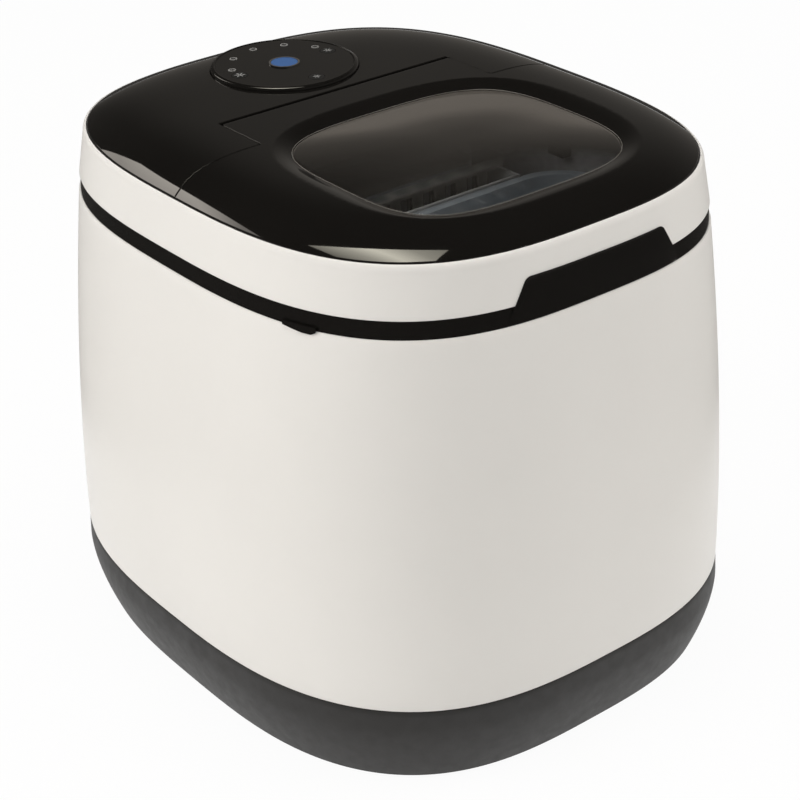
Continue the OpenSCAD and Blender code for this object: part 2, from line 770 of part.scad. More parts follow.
module ice_basket() {
  color([0.8, 0.85, 0.9]) difference() {
    union() {
      basket_prism(0, basket_z0, basket_z1);
      basket_prism(4, basket_z1 - 2, basket_z1);
    }
    basket_prism(-basket_t, basket_z0 + basket_t, basket_z1 + 1);
    for (i = [-5 : 5]) block(i * 14 - 3, i * 14 + 3, basket_y0 - 9, basket_y1 + 9,
      basket_z0 + 20, basket_z1 - 20);
    for (i = [0 : 2]) block(-basket_w, basket_w, basket_cy - 16.5 + i * 14, basket_cy - 10.5 + i * 14,
      basket_z0 + 20, basket_z1 - 20);
    for (i = [-5 : 5], y = [-35.5, -9.5, 16.5]) block(i * 14 - 3, i * 14 + 3,
      basket_cy + y, basket_cy + y + 20, basket_z0 - 6, basket_z0 + 5);
  }
}

module ice_scoop() {
  z = basket_z0 + basket_t;
  y = basket_cy + 0.5;
  color([0.6, 0.75, 0.9]) union() {
    difference() {
      translate([-20, y, z]) linear_extrude(30) rounded(74, 52, 10);
      translate([-22, y, z + 2]) linear_extrude(40) rounded(74, 47, 8);
      block(-62, -50, y - 34, y + 36, z + 2, z + 40);
    }
    along_x(14, y, z + 18) rod(7, 0, 66);
  }
}

// ---- Evaporator, tray, motor ----
evap_y = tray_y - 20;
evap_z0 = tray_z + 2.4;
evap_z1 = evap_z0 + 8;
finger_r = 5.5;
finger_len = 24;
finger_pitch = 18;

module evaporator() {
  color([0.8, 0.78, 0.74]) union() {
    block(-84, 84, evap_y - 8, evap_y + 8, evap_z0, evap_z1);
    for (i = [0 : fingers - 1]) translate([(i - (fingers - 1) / 2) * finger_pitch, evap_y, 0]) {
      rod(finger_r, tray_z - finger_len + finger_r, evap_z0 + 1);
      translate([0, 0, tray_z - finger_len + finger_r]) sphere(finger_r);
    }
    for (x = pipe_xs) along_y(x, evap_y + 7, pipe_z) rod(3, 0, 60 - evap_y - 7);
  }
}

module evaporator_bracket() {
  color([0.7, 0.7, 0.72]) union() {
    block(-38, 58, evap_y - 8, tub_rear - snug, evap_z1, evap_z1 + 2);
    block(-38, 58, tub_rear - 2 - snug, tub_rear - snug, evap_z1, evap_z1 + 12);
    block(-38, -36, evap_y - 8, tub_rear - snug, evap_z1, evap_z1 + 7);
    block(56, 58, evap_y - 8, tub_rear - snug, evap_z1, evap_z1 + 7);
  }
}

motor_x = tub_w / 2 + tub_wall;
motor_bore = 22;
trough_d = 40;
trough_h = 30;
trough_t = 2;

// Cross section of the trough seen from the side, measured from its pivot
module trough_section(t) {
  lip = t > 0 ? 1.5 : -0.5;
  knee = 9 - trough_h;
  bottom = t - trough_h;
  polygon([[-t, lip], [-t, knee], [-9 - t / 2, bottom], [9 - t / 2 - trough_d, bottom],
    [t - trough_d, knee], [t - trough_d, lip]]);
}

module water_tray() {
  half = tray_len / 2;
  color([0.85, 0.87, 0.9]) union() {
    difference() {
      translate([-half, tray_y, tray_z]) rotate([90, 0, 90]) linear_extrude(tray_len) trough_section(0);
      translate([-half + trough_t, tray_y, tray_z]) rotate([90, 0, 90])
        linear_extrude(tray_len - 2 * trough_t) trough_section(trough_t);
    }
    for (x = [-half, half - 3]) along_x(x, tray_y, tray_z) rod(6, 0, 3);
    along_x(-tub_w / 2 - tub_wall + clear, tray_y, tray_z) rod(pivot_r, 0, tub_w / 2 + tub_wall - half);
    along_x(half - 1, tray_y, tray_z) rod(pivot_r, 0, motor_x + motor_bore - clear - half);
    for (i = [0 : fingers]) let (x = (i - fingers / 2) * finger_pitch)
      block(x - 2, x + 2, tray_y - trough_d - 17, tray_y - trough_d + 1, tray_z - 5, tray_z - 3);
  }
}

module tray_motor() {
  color([0.25, 0.25, 0.27]) difference() {
    union() {
      block(motor_x, motor_x + 24, tray_y - 20, tray_y + 20, tray_z - 20, tray_z + 20);
      along_x(motor_x + 23, tray_y + 6, tray_z - 4) rod(11, 0, 9);
    }
    along_x(motor_x - 1, tray_y, tray_z) rod(pivot_r + pivot_play, 0, motor_bore + 1);
  }
}

module ice_sensors() {
  color([0.15, 0.15, 0.16]) for (s = [-1, 1]) union() {
    side_block(s, 112, tub_w / 2 - snug, -40, -26, 300, 314);
    along_x(s > 0 ? 109 : -112.5, -33, 307) rod(3, 0, 3.5);
  }
}

// ---- Reservoir fittings ----
float_at = [70, -100];
stem_r = 3;

module float_guide() {
  color([0.9, 0.9, 0.9]) translate(float_at) union() {
    rod(stem_r, tub_floor, 172);
    rod(8, tub_floor, tub_floor + 4);
    rod(5.5, 169, 172);
  }
}

module float_ring() {
  color([0.85, 0.3, 0.2]) translate(float_at) difference() {
    rod(12, tub_floor + 4 + clear, tub_floor + 20 + clear);
    rod(stem_r + 0.1, tub_floor, 160);
  }
}

module inlet_strainer() {
  color([0.85, 0.85, 0.87]) translate([pump_x, pump_y]) difference() {
    rod(13, tub_floor, tub_floor + 9);
    rod(11, tub_floor - 1, tub_floor + 7.5);
    for (a = [0 : 30 : 150]) rotate([0, 0, a]) translate([-20, -1.2, tub_floor + 2]) cube([40, 2.4, 4]);
  }
}

pump_z0 = 66;
pump_z1 = 104;

module water_pump() {
  color([0.15, 0.15, 0.16]) union() {
    translate([pump_x, pump_y]) {
      rod(24, pump_z0, pump_z1);
      rod(inlet_r, pump_z1 - 1, tub_floor + 2);
      for (x = [-1, 1]) block(x * 27 - 2, x * 27 + 2, -18, 18, pan_top, pump_z0);
      block(-29, 29, -18, 18, pump_z0 - 3, pump_z0 + 1);
    }
    along_y(pump_x, pump_y + 20, 84) rod(4.5, 0, 22);
  }
}

module fill_hose() {
  color([0.9, 0.9, 0.92]) tube([[pump_x, pump_y + 42, 84], [pump_x, 56, 84], [20, 56, 84], [20, 72, 112],
    [20, 72, hose_z], [hose_x, 72, hose_z], [hose_x, 7.6, hose_z], [hose_x, 7.6, 296]], hose_r, 9, 4);
}

fit_x = 176;

module drain_pipe() {
  color([0.15, 0.15, 0.16]) difference() {
    union() {
      translate([drain_x, drain_y]) rod(6, drain_z - 6, tub_floor - 0.2);
      translate([drain_x, drain_y]) rod(9, drain_z - 6, tub_floor - tub_wall);
      along_x(drain_x, drain_y, drain_z) rod(9, -9, 72);
      along_x(fit_x, drain_y, drain_z) rod(drain_r, -14, 0);
      along_x(fit_x, drain_y, drain_z) rod(19, -6, -3.5);
    }
    translate([drain_x, drain_y]) rod(4, drain_z, tub_floor + 1);
    along_x(drain_x, drain_y, drain_z) rod(5, 0, 90);
    along_x(fit_x, drain_y, drain_z) rod(9, -11, 1);
  }
}

module drain_plug() {
  color([0.12, 0.12, 0.12]) along_x(fit_x, drain_y, drain_z) difference() {
    union() {
      rod(9 - pin_play, -10.5, 1);
      rod(drain_r, 0.3, 4.6);
    }
    for (s = [-1, 1]) translate([s * 7 - 3.5, -10, 2]) cube([7, 20, 5]);
  }
}

// ---- Refrigeration ----
pot_x = -71;
pot_z0 = 19;
pot_side = 130;
pot_top = 160;
stub_z = 164;
grommet_at = [for (x = [-50, 50], y = [-26, 26]) [pot_x + x, pot_y + y]];
plate_z = 17;

module compressor() {
  color([0.08, 0.08, 0.09]) difference() {
    union() {
      translate([pot_x, pot_y, 0]) rotate_extrude($fn = 72) polygon(concat(
        [[0, pot_z0 - 1], [pot_r - 6, pot_z0 - 1], [pot_r, pot_z0 + 8]],
        [for (a = [0 : 9 : 90]) [pot_r * cos(a), pot_side + (pot_top - pot_side) * sin(a)]]));
      translate([pot_x, pot_y, plate_z]) linear_extrude(2.5) rounded(124, 76, 12);
      for (x = [-100, -42]) translate([x, pot_y]) rod(4, pot_side, stub_z);
      block(pot_x - 16, pot_x + 16, pot_y - pot_r - 6, pot_y - pot_r + 6, 70, 104);
    }
    for (p = grommet_at) translate(p) rod(3.3, 0, 40);
  }
}

module compressor_grommets() {
  color([0.1, 0.1, 0.1]) for (p = grommet_at) translate(p) difference() {
    rod(9, pan_top, plate_z);
    rod(3.3, 0, 40);
  }
}

module compressor_studs() {
  color([0.7, 0.7, 0.72]) for (p = grommet_at) translate(p) {
    rod(3, pan_top, plate_z + 4);
    rod(6.5, plate_z + 2.6, plate_z + 5.6);
  }
}

cond_x0 = -2;
cond_x1 = 112;
cond_y1 = base_b - 42;
cond_y0 = cond_y1 - 22;
fan_z = 115;
fan_x = (cond_x0 + cond_x1) / 2;

module condenser() {
  color([0.75, 0.75, 0.77]) union() {
    for (x = [cond_x0 - 2, cond_x1]) block(x, x + 2, cond_y0, cond_y1, pan_top, 205);
    for (i = [1 : 18]) let (x = cond_x0 + i * 6) block(x - 0.4, x + 0.4, cond_y0 + 1, cond_y1 - 1, 28, 202);
    for (k = [0 : 6], y = [cond_y0 + 6, cond_y1 - 6])
      along_x(cond_x0 - 1, y, 36 + k * 26) rod(3.5, 0, cond_x1 - cond_x0 + 2);
    block(cond_x0 - 1, cond_x1 + 1, cond_y0, cond_y0 + 3, 202, 205);
    block(cond_x0 - 1, cond_x1 + 1, cond_y0, cond_y0 + 3, 20, 28);
  }
}

module fan_shroud() {
  color([0.13, 0.13, 0.13]) difference() {
    union() {
      block(cond_x0, cond_x1, cond_y0 - 2.5, cond_y0, 50, 180);
      along_y(fan_x, cond_y0 - 24, fan_z) rod(fan_r + 6, 0, 22);
    }
    along_y(fan_x, cond_y0 - 21, fan_z) rod(fan_r + 3, 0, 40);
    difference() {
      along_y(fan_x, cond_y0 - 25, fan_z) rod(fan_r + 3, 0, 10);
      along_y(fan_x, cond_y0 - 25, fan_z) rod(22, 0, 10);
      for (a = [45, 135]) translate([fan_x, 0, fan_z]) rotate([0, a, 0])
        block(-4, 4, cond_y0 - 30, cond_y0, -60, 60);
    }
    along_y(fan_x, cond_y0 - 30, fan_z) rod(7, 0, 20);
  }
}

module fan_motor() {
  color([0.2, 0.2, 0.22]) difference() {
    along_y(fan_x, cond_y0 - 44, fan_z) {
      rod(21, 0, 20);
      rod(6.5, 19, 22);
    }
    along_y(fan_x, cond_y0 - 40, fan_z) rod(2.05, 0, 30);
  }
}

module fan_shaft() {
  color([0.8, 0.8, 0.82]) along_y(fan_x, cond_y0 - 39, fan_z) rod(2, 0, 33);
}

module fan_blade() {
  color([0.16, 0.16, 0.17]) difference() {
    along_y(fan_x, cond_y0 - 18, fan_z) union() {
      rod(13, 0, 14);
      for (a = [0 : 72 : 288]) rotate([0, 0, a]) translate([0, 0, 7]) rotate([28, 0, 0])
        linear_extrude(1.6, center = true)
          polygon(concat([[11, -5]], arc(0, 0, fan_r - 1, -14, 22, 8), [[11, 6]]));
    }
    along_y(fan_x, cond_y0 - 20, fan_z) rod(2, 0, 14.1);
  }
}

drier_at = [8, cond_y0 - 45];

module filter_drier() {
  color([0.72, 0.45, 0.3]) translate([drier_at.x, drier_at.y, 0]) rotate_extrude() polygon([
    [0, 148], [3, 148], [3, 152], [9, 158], [9, 202], [3, 208], [3, 212], [0, 212]]);
}

valve_at = [-100, 76];
jacket_back = tub_rear + tub_wall + foam;

module hot_gas_valve() {
  color([0.2, 0.3, 0.6]) union() {
    translate([valve_at.x, valve_at.y]) rod(11, 186, 206);
    translate([valve_at.x, valve_at.y]) rod(5, 180, 212);
    block(valve_at.x - 12, valve_at.x + 12, jacket_back, valve_at.y - 4, 184, 188);
    block(valve_at.x - 12, valve_at.x + 12, jacket_back, jacket_back + 2, 180, 212);
  }
}

out_y = cond_y1 - 6;
return_y = cond_y0 + 7;
pipe_r = 3.5;
liquid_r = 2.5;
capillary_r = 1.5;
tee_x = -42;
riser_x = -16;
capillary_x = -6;
service_y = 78;

module discharge_line() {
  v = valve_at;
  color([0.72, 0.45, 0.3]) {
    tube([[tee_x, pot_y, stub_z], [tee_x, pot_y, 190], [tee_x, out_y, 190],
      [cond_x0 - 2, out_y, 190]], pipe_r);
    tube([[v.x, v.y, 180], [v.x, v.y, 170], [tee_x, v.y, 170],
      [tee_x, pot_y - pipe_r - 0.1, 170]], liquid_r, 6);
  }
}

module suction_line() {
  x = valve_at.x;
  color([0.72, 0.45, 0.3]) tube([[pipe_xs[0], 60, pipe_z], [pipe_xs[0], 74, pipe_z], [x, 74, pipe_z],
    [x, pot_y, 285], [x, pot_y, stub_z]], pipe_r, 9);
}

module liquid_line() {
  d = drier_at;
  v = valve_at;
  x = pipe_xs[1];
  color([0.72, 0.45, 0.3]) {
    tube([[cond_x0 - 2, return_y, 36], [riser_x, return_y, 36], [riser_x, return_y, 228],
      [riser_x, d.y, 228], [d.x, d.y, 228], [d.x, d.y, 212]], liquid_r, 6);
    tube([[d.x, d.y, 148], [d.x, d.y, 136], [capillary_x, service_y, 136],
      [capillary_x, service_y, pipe_z], [x, service_y, pipe_z], [x, 60, pipe_z]], capillary_r, 5);
    tube([[v.x, v.y, 212], [v.x, v.y, 240], [x, service_y, 240], [x, service_y, pipe_z - 1.6]], liquid_r, 6);
  }
}

module power_board() {
  back = jacket_back;
  color([0.1, 0.35, 0.18]) union() {
    block(36, 124, back, back + 2, 206, 290);
    block(40, 120, back + 1, back + 8, 210, 286);
    block(46, 72, back + 7, back + 24, 246, 280);
    block(82, 112, back + 7, back + 18, 256, 280);
    along_y(60, back + 7, 226) rod(8, 0, 14);
    along_y(84, back + 7, 228) rod(6, 0, 12);
    along_y(104, back + 7, 228) rod(6, 0, 12);
  }
}

base_pan();
foot_pads();
main_shell();
rear_grille();
power_inlet();
case_screws();
trim_band();
upper_ring();
front_plate();
trim_tab();
rear_deck();
top_frame();
frame_screws();
lid_frame();
lid_window();
lid_liner();
lid_screws();
lid_bumpers();
hinge_pins();
control_bezel();
control_fascia();
badge_ring();
badge_plate();
led_rims();
led_lenses();
key_left();
key_right();
key_front();
control_board();
tank_liner();
foam_jacket();
ice_basket();
ice_scoop();
evaporator();
evaporator_bracket();
water_tray();
tray_motor();
ice_sensors();
float_guide();
float_ring();
inlet_strainer();
water_pump();
fill_hose();
drain_pipe();
drain_plug();
compressor();
compressor_grommets();
compressor_studs();
condenser();
fan_shroud();
fan_motor();
fan_shaft();
fan_blade();
filter_drier();
hot_gas_valve();
discharge_line();
suction_line();
liquid_line();
power_board();
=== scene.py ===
import json
import math

import bmesh
import bpy
from mathutils import Matrix, Vector
from mathutils.geometry import delaunay_2d_cdt


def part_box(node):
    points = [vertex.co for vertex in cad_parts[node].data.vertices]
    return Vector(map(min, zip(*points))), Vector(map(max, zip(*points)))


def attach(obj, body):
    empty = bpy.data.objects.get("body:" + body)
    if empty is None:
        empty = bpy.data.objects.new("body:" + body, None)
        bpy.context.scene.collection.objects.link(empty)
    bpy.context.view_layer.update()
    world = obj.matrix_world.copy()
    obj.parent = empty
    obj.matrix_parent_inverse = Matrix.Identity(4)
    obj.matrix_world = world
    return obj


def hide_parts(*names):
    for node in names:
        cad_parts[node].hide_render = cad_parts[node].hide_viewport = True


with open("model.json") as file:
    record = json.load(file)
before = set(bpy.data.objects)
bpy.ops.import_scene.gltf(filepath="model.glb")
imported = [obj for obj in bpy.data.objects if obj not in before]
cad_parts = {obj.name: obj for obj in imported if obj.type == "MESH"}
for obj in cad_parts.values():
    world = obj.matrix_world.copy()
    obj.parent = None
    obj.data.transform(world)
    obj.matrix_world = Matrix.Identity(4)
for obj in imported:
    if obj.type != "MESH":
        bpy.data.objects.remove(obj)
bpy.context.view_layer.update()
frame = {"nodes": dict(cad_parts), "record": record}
nodes = frame["nodes"]
MM = 0.001


def box_mm(node):
    low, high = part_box(node)
    return [c / MM for c in low], [c / MM for c in high]


# ---------------------------------------------------------------- outline of the cabinet, in mm
# Half widths end in _A (along X) and _B (along Y); squareness is the power of the superellipse.
AROUND = 288                                  # points round the cabinet
shell_lo, shell_hi = box_mm("main_shell")
ring_lo, ring_hi = box_mm("upper_ring")
SKIRT_BOTTOM = box_mm("base_pan")[0][2]
SKIRT_TOP, BAND_BOTTOM = shell_lo[2], shell_hi[2]
BAND_TOP, RING_TOP = ring_lo[2], ring_hi[2]
RING_EDGE = RING_TOP - 4.4                    # where the ring's rounded shoulder starts
BASE_A, BASE_B = shell_hi[0], -shell_lo[1]
TAPER_X, TAPER_Y = 17.2, 15.0
SHELL_A, SHELL_B = BASE_A - TAPER_X, BASE_B - TAPER_Y
EDGE_A, EDGE_B = SHELL_A - 5.8, SHELL_B - 4.3
DECK_A, DECK_B = EDGE_A - 1.8, EDGE_B - 2.7
BASE_N, SKIRT_N, TOP_N = 2.96, 2.79, 2.95
CURL_IN, CURL_TOP, CURL_POWER = 12.8, 44, 1.5  # how the skirt curls in towards the floor
GROWTH = 1.72                                 # how late the shell's taper comes on
BAND_LEAN = 1                                 # how far the band leans in over its height


def table(z, rows):
    """Value at height z, straight between rows of (height, value)."""
    if z <= rows[0][0]:
        return rows[0][1]
    for (z0, v0), (z1, v1) in zip(rows, rows[1:]):
        if z <= z1:
            return v0 + (v1 - v0) * (z - z0) / (z1 - z0)
    return rows[-1][1]


def half(z, base, taper, edge):
    """Half width at height z: curled skirt, tapering shell, band and ring."""
    if z <= SKIRT_TOP:
        return base - CURL_IN * max(0.0, 1 - z / CURL_TOP) ** CURL_POWER
    if z <= BAND_BOTTOM:
        return base - taper * ((z - SKIRT_TOP) / (BAND_BOTTOM - SKIRT_TOP)) ** GROWTH
    top = base - taper
    return table(z, [(BAND_BOTTOM, top), (BAND_TOP, top - BAND_LEAN), (RING_EDGE, edge)])


def half_a(z):
    return half(z, BASE_A, TAPER_X, EDGE_A)


def half_b(z):
    return half(z, BASE_B, TAPER_Y, EDGE_B)


def squareness(z):
    return table(z, [(0, BASE_N), (SKIRT_TOP, SKIRT_N), (BAND_BOTTOM, TOP_N)])


def oblong(a, b, n, count=AROUND, cy=0.0):
    """Superellipse as a closed list of points, from +X counter-clockwise."""
    pts = []
    for i in range(count):
        p = 2 * math.pi * i / count
        c, s = math.cos(p), math.sin(p)
        r = (abs(c / a) ** n + abs(s / b) ** n) ** (-1 / n)
        pts.append((r * c, r * s + cy))
    return pts


def ring(a, b, z, n=TOP_N, count=AROUND):
    return [(x, y, z) for x, y in oblong(a, b, n, count)]


def level(z, inset=0.0):
    """Ring on the cabinet's outline at height z, moved in by inset."""
    return ring(half_a(z) - inset, half_b(z) - inset, z, squareness(z))


def rho(x, y):
    """0 at the middle of the deck, 1 at its edge."""
    return (abs(x / DECK_A) ** TOP_N + abs(y / DECK_B) ** TOP_N) ** (1 / TOP_N)


CROWN_TOP = 351.0
CROWN_H = CROWN_TOP - RING_TOP
CROWN_FLAT, CROWN_POWER = 0.5, 3.6            # flat out to half way, then falling to the rim


def crown(x, y):
    """Height of the crowned top that the deck and the lid share."""
    return CROWN_TOP - CROWN_H * (max(0.0, rho(x, y) - CROWN_FLAT) / CROWN_FLAT) ** CROWN_POWER


# ---------------------------------------------------------------- mesh helpers
SHARP, SHARP_ROUND = 32, 50                   # edges that turn more degrees stay sharp; the 2nd on disc and pane


def linked(name, data):
    """New object in the scene."""
    obj = bpy.data.objects.new(name, data)
    bpy.context.scene.collection.objects.link(obj)
    return obj


def smooth(mesh, sharp=SHARP):
    mesh.shade_smooth()
    mesh.set_sharp_from_angle(angle=math.radians(sharp))


def in_metres(rings):
    """All points of some rings in mm, as one list of vectors in m."""
    return [Vector(p) * MM for r in rings for p in r]


def round_points(r, cx, cy, count):
    turns = [2 * math.pi * i / count for i in range(count)]
    return [(cx + r * math.cos(t), cy + r * math.sin(t)) for t in turns]


def finish_mesh(name, mesh, body, material, replaces=(), slot=None, sharp=SHARP):
    """Turns a mesh into a piece: faces outwards, shaded, and riding on its body."""
    bm = bmesh.new()
    bm.from_mesh(mesh)
    bmesh.ops.recalc_face_normals(bm, faces=bm.faces)
    bm.to_mesh(mesh)
    bm.free()
    smooth(mesh, sharp)
    obj = linked(name, mesh)
    mesh.materials.append(material)
    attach(obj, body)
    if replaces:
        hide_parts(*replaces)
    return obj


def ring_faces(count, n, closed, start=0):
    """Quads between rings of n points; closed joins the last ring to the first."""
    faces = []
    for k in range(count if closed else count - 1):
        m = (k + 1) % count
        for i in range(n):
            j = (i + 1) % n
            faces.append((start + k * n + i, start + k * n + j, start + m * n + j, start + m * n + i))
    return faces


def hoop(name, rings, body, material, cutters=(), **extra):
    """Closed skin whose cross section is the loop of rings."""
    mesh = bpy.data.meshes.new(name)
    mesh.from_pydata(in_metres(rings), [], ring_faces(len(rings), len(rings[0]), True))
    obj = finish_mesh(name, mesh, body, material, **extra)
    return cut(obj, cutters)


def tool_from(bm, name="cutter"):
    mesh = bpy.data.meshes.new(name)
    bm.to_mesh(mesh)
    bm.free()
    return linked(name, mesh)


def box_tool(x0, x1, y0, y1, z0, z1):
    bm = bmesh.new()
    size = Vector((x1 - x0, y1 - y0, z1 - z0)) * MM
    mid = Vector((x0 + x1, y0 + y1, z0 + z1)) * MM / 2
    bmesh.ops.create_cube(bm, size=1, matrix=Matrix.Translation(mid) @ Matrix.Diagonal((*size, 1)))
    return tool_from(bm)


def rod_tool(x, y, z, r, length, axis, sides=48, name="cutter"):
    bm = bmesh.new()
    turn = {"X": Matrix.Rotation(math.pi / 2, 4, "Y"), "Y": Matrix.Rotation(math.pi / 2, 4, "X"),
            "Z": Matrix.Identity(4)}[axis]
    place = Matrix.Translation(Vector((x, y, z)) * MM) @ turn
    bmesh.ops.create_cone(bm, cap_ends=True, segments=sides, radius1=r * MM, radius2=r * MM,
                          depth=length * MM, matrix=place)
    return tool_from(bm, name)


def cut(obj, cutters):
    """Subtracts the cutters and keeps the result as plain mesh."""
    if not cutters:
        return obj
    for c in cutters:
        mod = obj.modifiers.new("cut", "BOOLEAN")
        mod.operation = "DIFFERENCE"
        mod.solver = "EXACT"
        mod.object = c
    depsgraph = bpy.context.evaluated_depsgraph_get()
    mesh = bpy.data.meshes.new_from_object(obj.evaluated_get(depsgraph))
    obj.modifiers.clear()
    mesh.name = obj.name
    obj.data = mesh
    smooth(mesh)
    for c in cutters:
        bpy.data.objects.remove(c)
    return obj


# ---------------------------------------------------------------- materials
def shader(name):
    mat = bpy.data.materials.new(name)
    mat.use_nodes = True
    return mat, mat.node_tree, mat.node_tree.nodes["Principled BSDF"]


def noise(tree, scale, detail=2.0, rough=0.5):
    """Noise in the object's own metres."""
    coord = tree.nodes.new("ShaderNodeTexCoord")
    n = tree.nodes.new("ShaderNodeTexNoise")
    n.inputs["Scale"].default_value = scale
    n.inputs["Detail"].default_value = detail
    n.inputs["Roughness"].default_value = rough
    tree.links.new(coord.outputs["Object"], n.inputs["Vector"])
    return n


def spread(tree, source, low, high):
    """Stretches the middle of a noise to the range from low to high."""
    m = tree.nodes.new("ShaderNodeMapRange")
    m.inputs["From Min"].default_value = 0.3
    m.inputs["From Max"].default_value = 0.7
    m.inputs["To Min"].default_value = low
    m.inputs["To Max"].default_value = high
    tree.links.new(source, m.inputs["Value"])
    return m.outputs["Result"]


def two_tone(tree, factor, dark, light):
    m = tree.nodes.new("ShaderNodeMix")
    m.data_type = "RGBA"
    m.inputs["A"].default_value = (*dark, 1)
    m.inputs["B"].default_value = (*light, 1)
    tree.links.new(factor, m.inputs["Factor"])
    return m.outputs["Result"]


def ramp(tree, source, stops):
    """Colour ramp from a list of (position, value or colour) stops."""
    node = tree.nodes.new("ShaderNodeValToRGB")
    elements = node.color_ramp.elements
    while len(elements) < len(stops):
        elements.new(0.5)
    for element, (position, value) in zip(elements, stops):
        element.position = position
        element.color = (*(value if isinstance(value, tuple) else (value,) * 3), 1)
    tree.links.new(source, node.inputs["Fac"])
    return node.outputs["Color"]


def surface(name, rgb, rough, vary=0.03, rough_vary=0.04, grain=900.0, bump=0.05, depth=0.00005,
            patch=9.0, sockets=None):
    """Moulded or machined surface: slow colour drift, uneven gloss and a fine grain."""
    mat, tree, bsdf = shader(name)
    slow = noise(tree, patch, 3)
    factor = spread(tree, slow.outputs["Fac"], 0, 1)
    dark = [c * (1 - vary) for c in rgb]
    light = [min(1, c * (1 + vary)) for c in rgb]
    tree.links.new(two_tone(tree, factor, dark, light), bsdf.inputs["Base Color"])
    fine = noise(tree, patch * 14, 4, 0.6)
    tree.links.new(spread(tree, fine.outputs["Fac"], max(0.0, rough - rough_vary), rough + rough_vary),
                   bsdf.inputs["Roughness"])
    if bump:
        grit = noise(tree, grain, 3, 0.6)
        b = tree.nodes.new("ShaderNodeBump")
        b.inputs["Strength"].default_value = bump
        b.inputs["Distance"].default_value = depth
        tree.links.new(grit.outputs["Fac"], b.inputs["Height"])
        tree.links.new(b.outputs["Normal"], bsdf.inputs["Normal"])
    for key, value in (sockets or {}).items():
        bsdf.inputs[key].default_value = value
    return mat


def brushed(name, rgb, rough, scale=(40, 900, 900)):
    """Metal with long scratches along X."""
    mat, tree, bsdf = shader(name)
    coord = tree.nodes.new("ShaderNodeTexCoord")
    mapping = tree.nodes.new("ShaderNodeMapping")
    mapping.inputs["Scale"].default_value = scale
    n = tree.nodes.new("ShaderNodeTexNoise")
    n.inputs["Scale"].default_value = 1.0
    n.inputs["Detail"].default_value = 3
    tree.links.new(coord.outputs["Object"], mapping.inputs["Vector"])
    tree.links.new(mapping.outputs["Vector"], n.inputs["Vector"])
    factor = spread(tree, n.outputs["Fac"], 0, 1)
    tree.links.new(two_tone(tree, factor, [c * 0.9 for c in rgb], rgb), bsdf.inputs["Base Color"])
    tree.links.new(spread(tree, n.outputs["Fac"], rough * 0.8, rough * 1.2), bsdf.inputs["Roughness"])
    bsdf.inputs["Metallic"].default_value = 1
    return mat


# base colour, roughness, drift of the colour and of the gloss, then the grain's scale, strength and depth
SURFACES = {
    "shell_white": ((0.83, 0.812, 0.783), 0.36, 0.012, 0.03, 1400, 0.03),
    "skirt_charcoal": ((0.022, 0.0205, 0.019), 0.55, 0.08, 0.05, 1600, 0.25, 0.00008),
    "piano_black": ((0.0078, 0.0071, 0.0063), 0.035, 0.1, 0.012, 60, 0.0),
    "black_plastic": ((0.016, 0.016, 0.016), 0.45, 0.1, 0.06, 1500, 0.2),
    "dark_grey_plastic": ((0.035, 0.035, 0.037), 0.5, 0.08, 0.06, 1500, 0.2),
    "liner_grey": ((0.52, 0.515, 0.52), 0.28, 0.03, 0.04, 1200, 0.05),
    "clear_plastic": ((0.72, 0.80, 0.86), 0.12, 0.02, 0.03, 800, 0.03),
    "natural_plastic": ((0.72, 0.73, 0.72), 0.35, 0.02, 0.05, 1200, 0.05),
    "float_red": ((0.62, 0.06, 0.03), 0.35, 0.05, 0.05),
    "foam_cream": ((0.78, 0.72, 0.5), 0.9, 0.08, 0.05, 260, 0.6, 0.0004),
    "rubber_black": ((0.014, 0.014, 0.014), 0.75, 0.15, 0.08, 1100, 0.3),
    "silicone_white": ((0.75, 0.76, 0.77), 0.4, 0.03, 0.05),
    "badge_blue": ((0.048, 0.13, 0.34), 0.22, 0.05, 0.04, 300, 0.05),
    "lens_white": ((0.045, 0.045, 0.045), 0.22, 0.03, 0.03),
    "light_rim": ((0.30, 0.295, 0.285), 0.35, 0.03, 0.03),
    "mark_white": ((0.42, 0.42, 0.41), 0.5, 0.04, 0.05),
    # painted highlight colour for the fine line round the window's rim
    "painted_rim_highlight": ((0.20, 0.185, 0.165), 0.3, 0.03, 0.04),
    "compressor_black": ((0.012, 0.012, 0.013), 0.32, 0.15, 0.08, 400, 0.2),
    "valve_blue": ((0.03, 0.09, 0.36), 0.35, 0.08, 0.06),
    "board_green": ((0.015, 0.14, 0.05), 0.35, 0.2, 0.1, 700, 0.3),
}
SOCKETS = {
    "shell_white": {"Specular IOR Level": 0.25},
    "clear_plastic": {"Alpha": 0.55, "IOR": 1.5},
}
# base colour, roughness, then the scratches' scale along X, Y and Z
METALS = {
    "screw_steel": ((0.62, 0.62, 0.63), 0.3),
    "chrome_trim": ((0.82, 0.82, 0.83), 0.12, (300, 300, 300)),
    "nickel_plate": ((0.66, 0.64, 0.60), 0.22, (120, 120, 120)),
    "zinc_sheet": ((0.56, 0.57, 0.58), 0.38, (60, 60, 60)),
    "aluminium_fins": ((0.72, 0.72, 0.73), 0.35, (900, 900, 40)),
    "copper_pipe": ((0.72, 0.33, 0.17), 0.28, (200, 200, 60)),
}
MATS = {name: surface(name, *row, sockets=SOCKETS.get(name)) for name, row in SURFACES.items()}
MATS.update({name: brushed(name, *row) for name, row in METALS.items()})


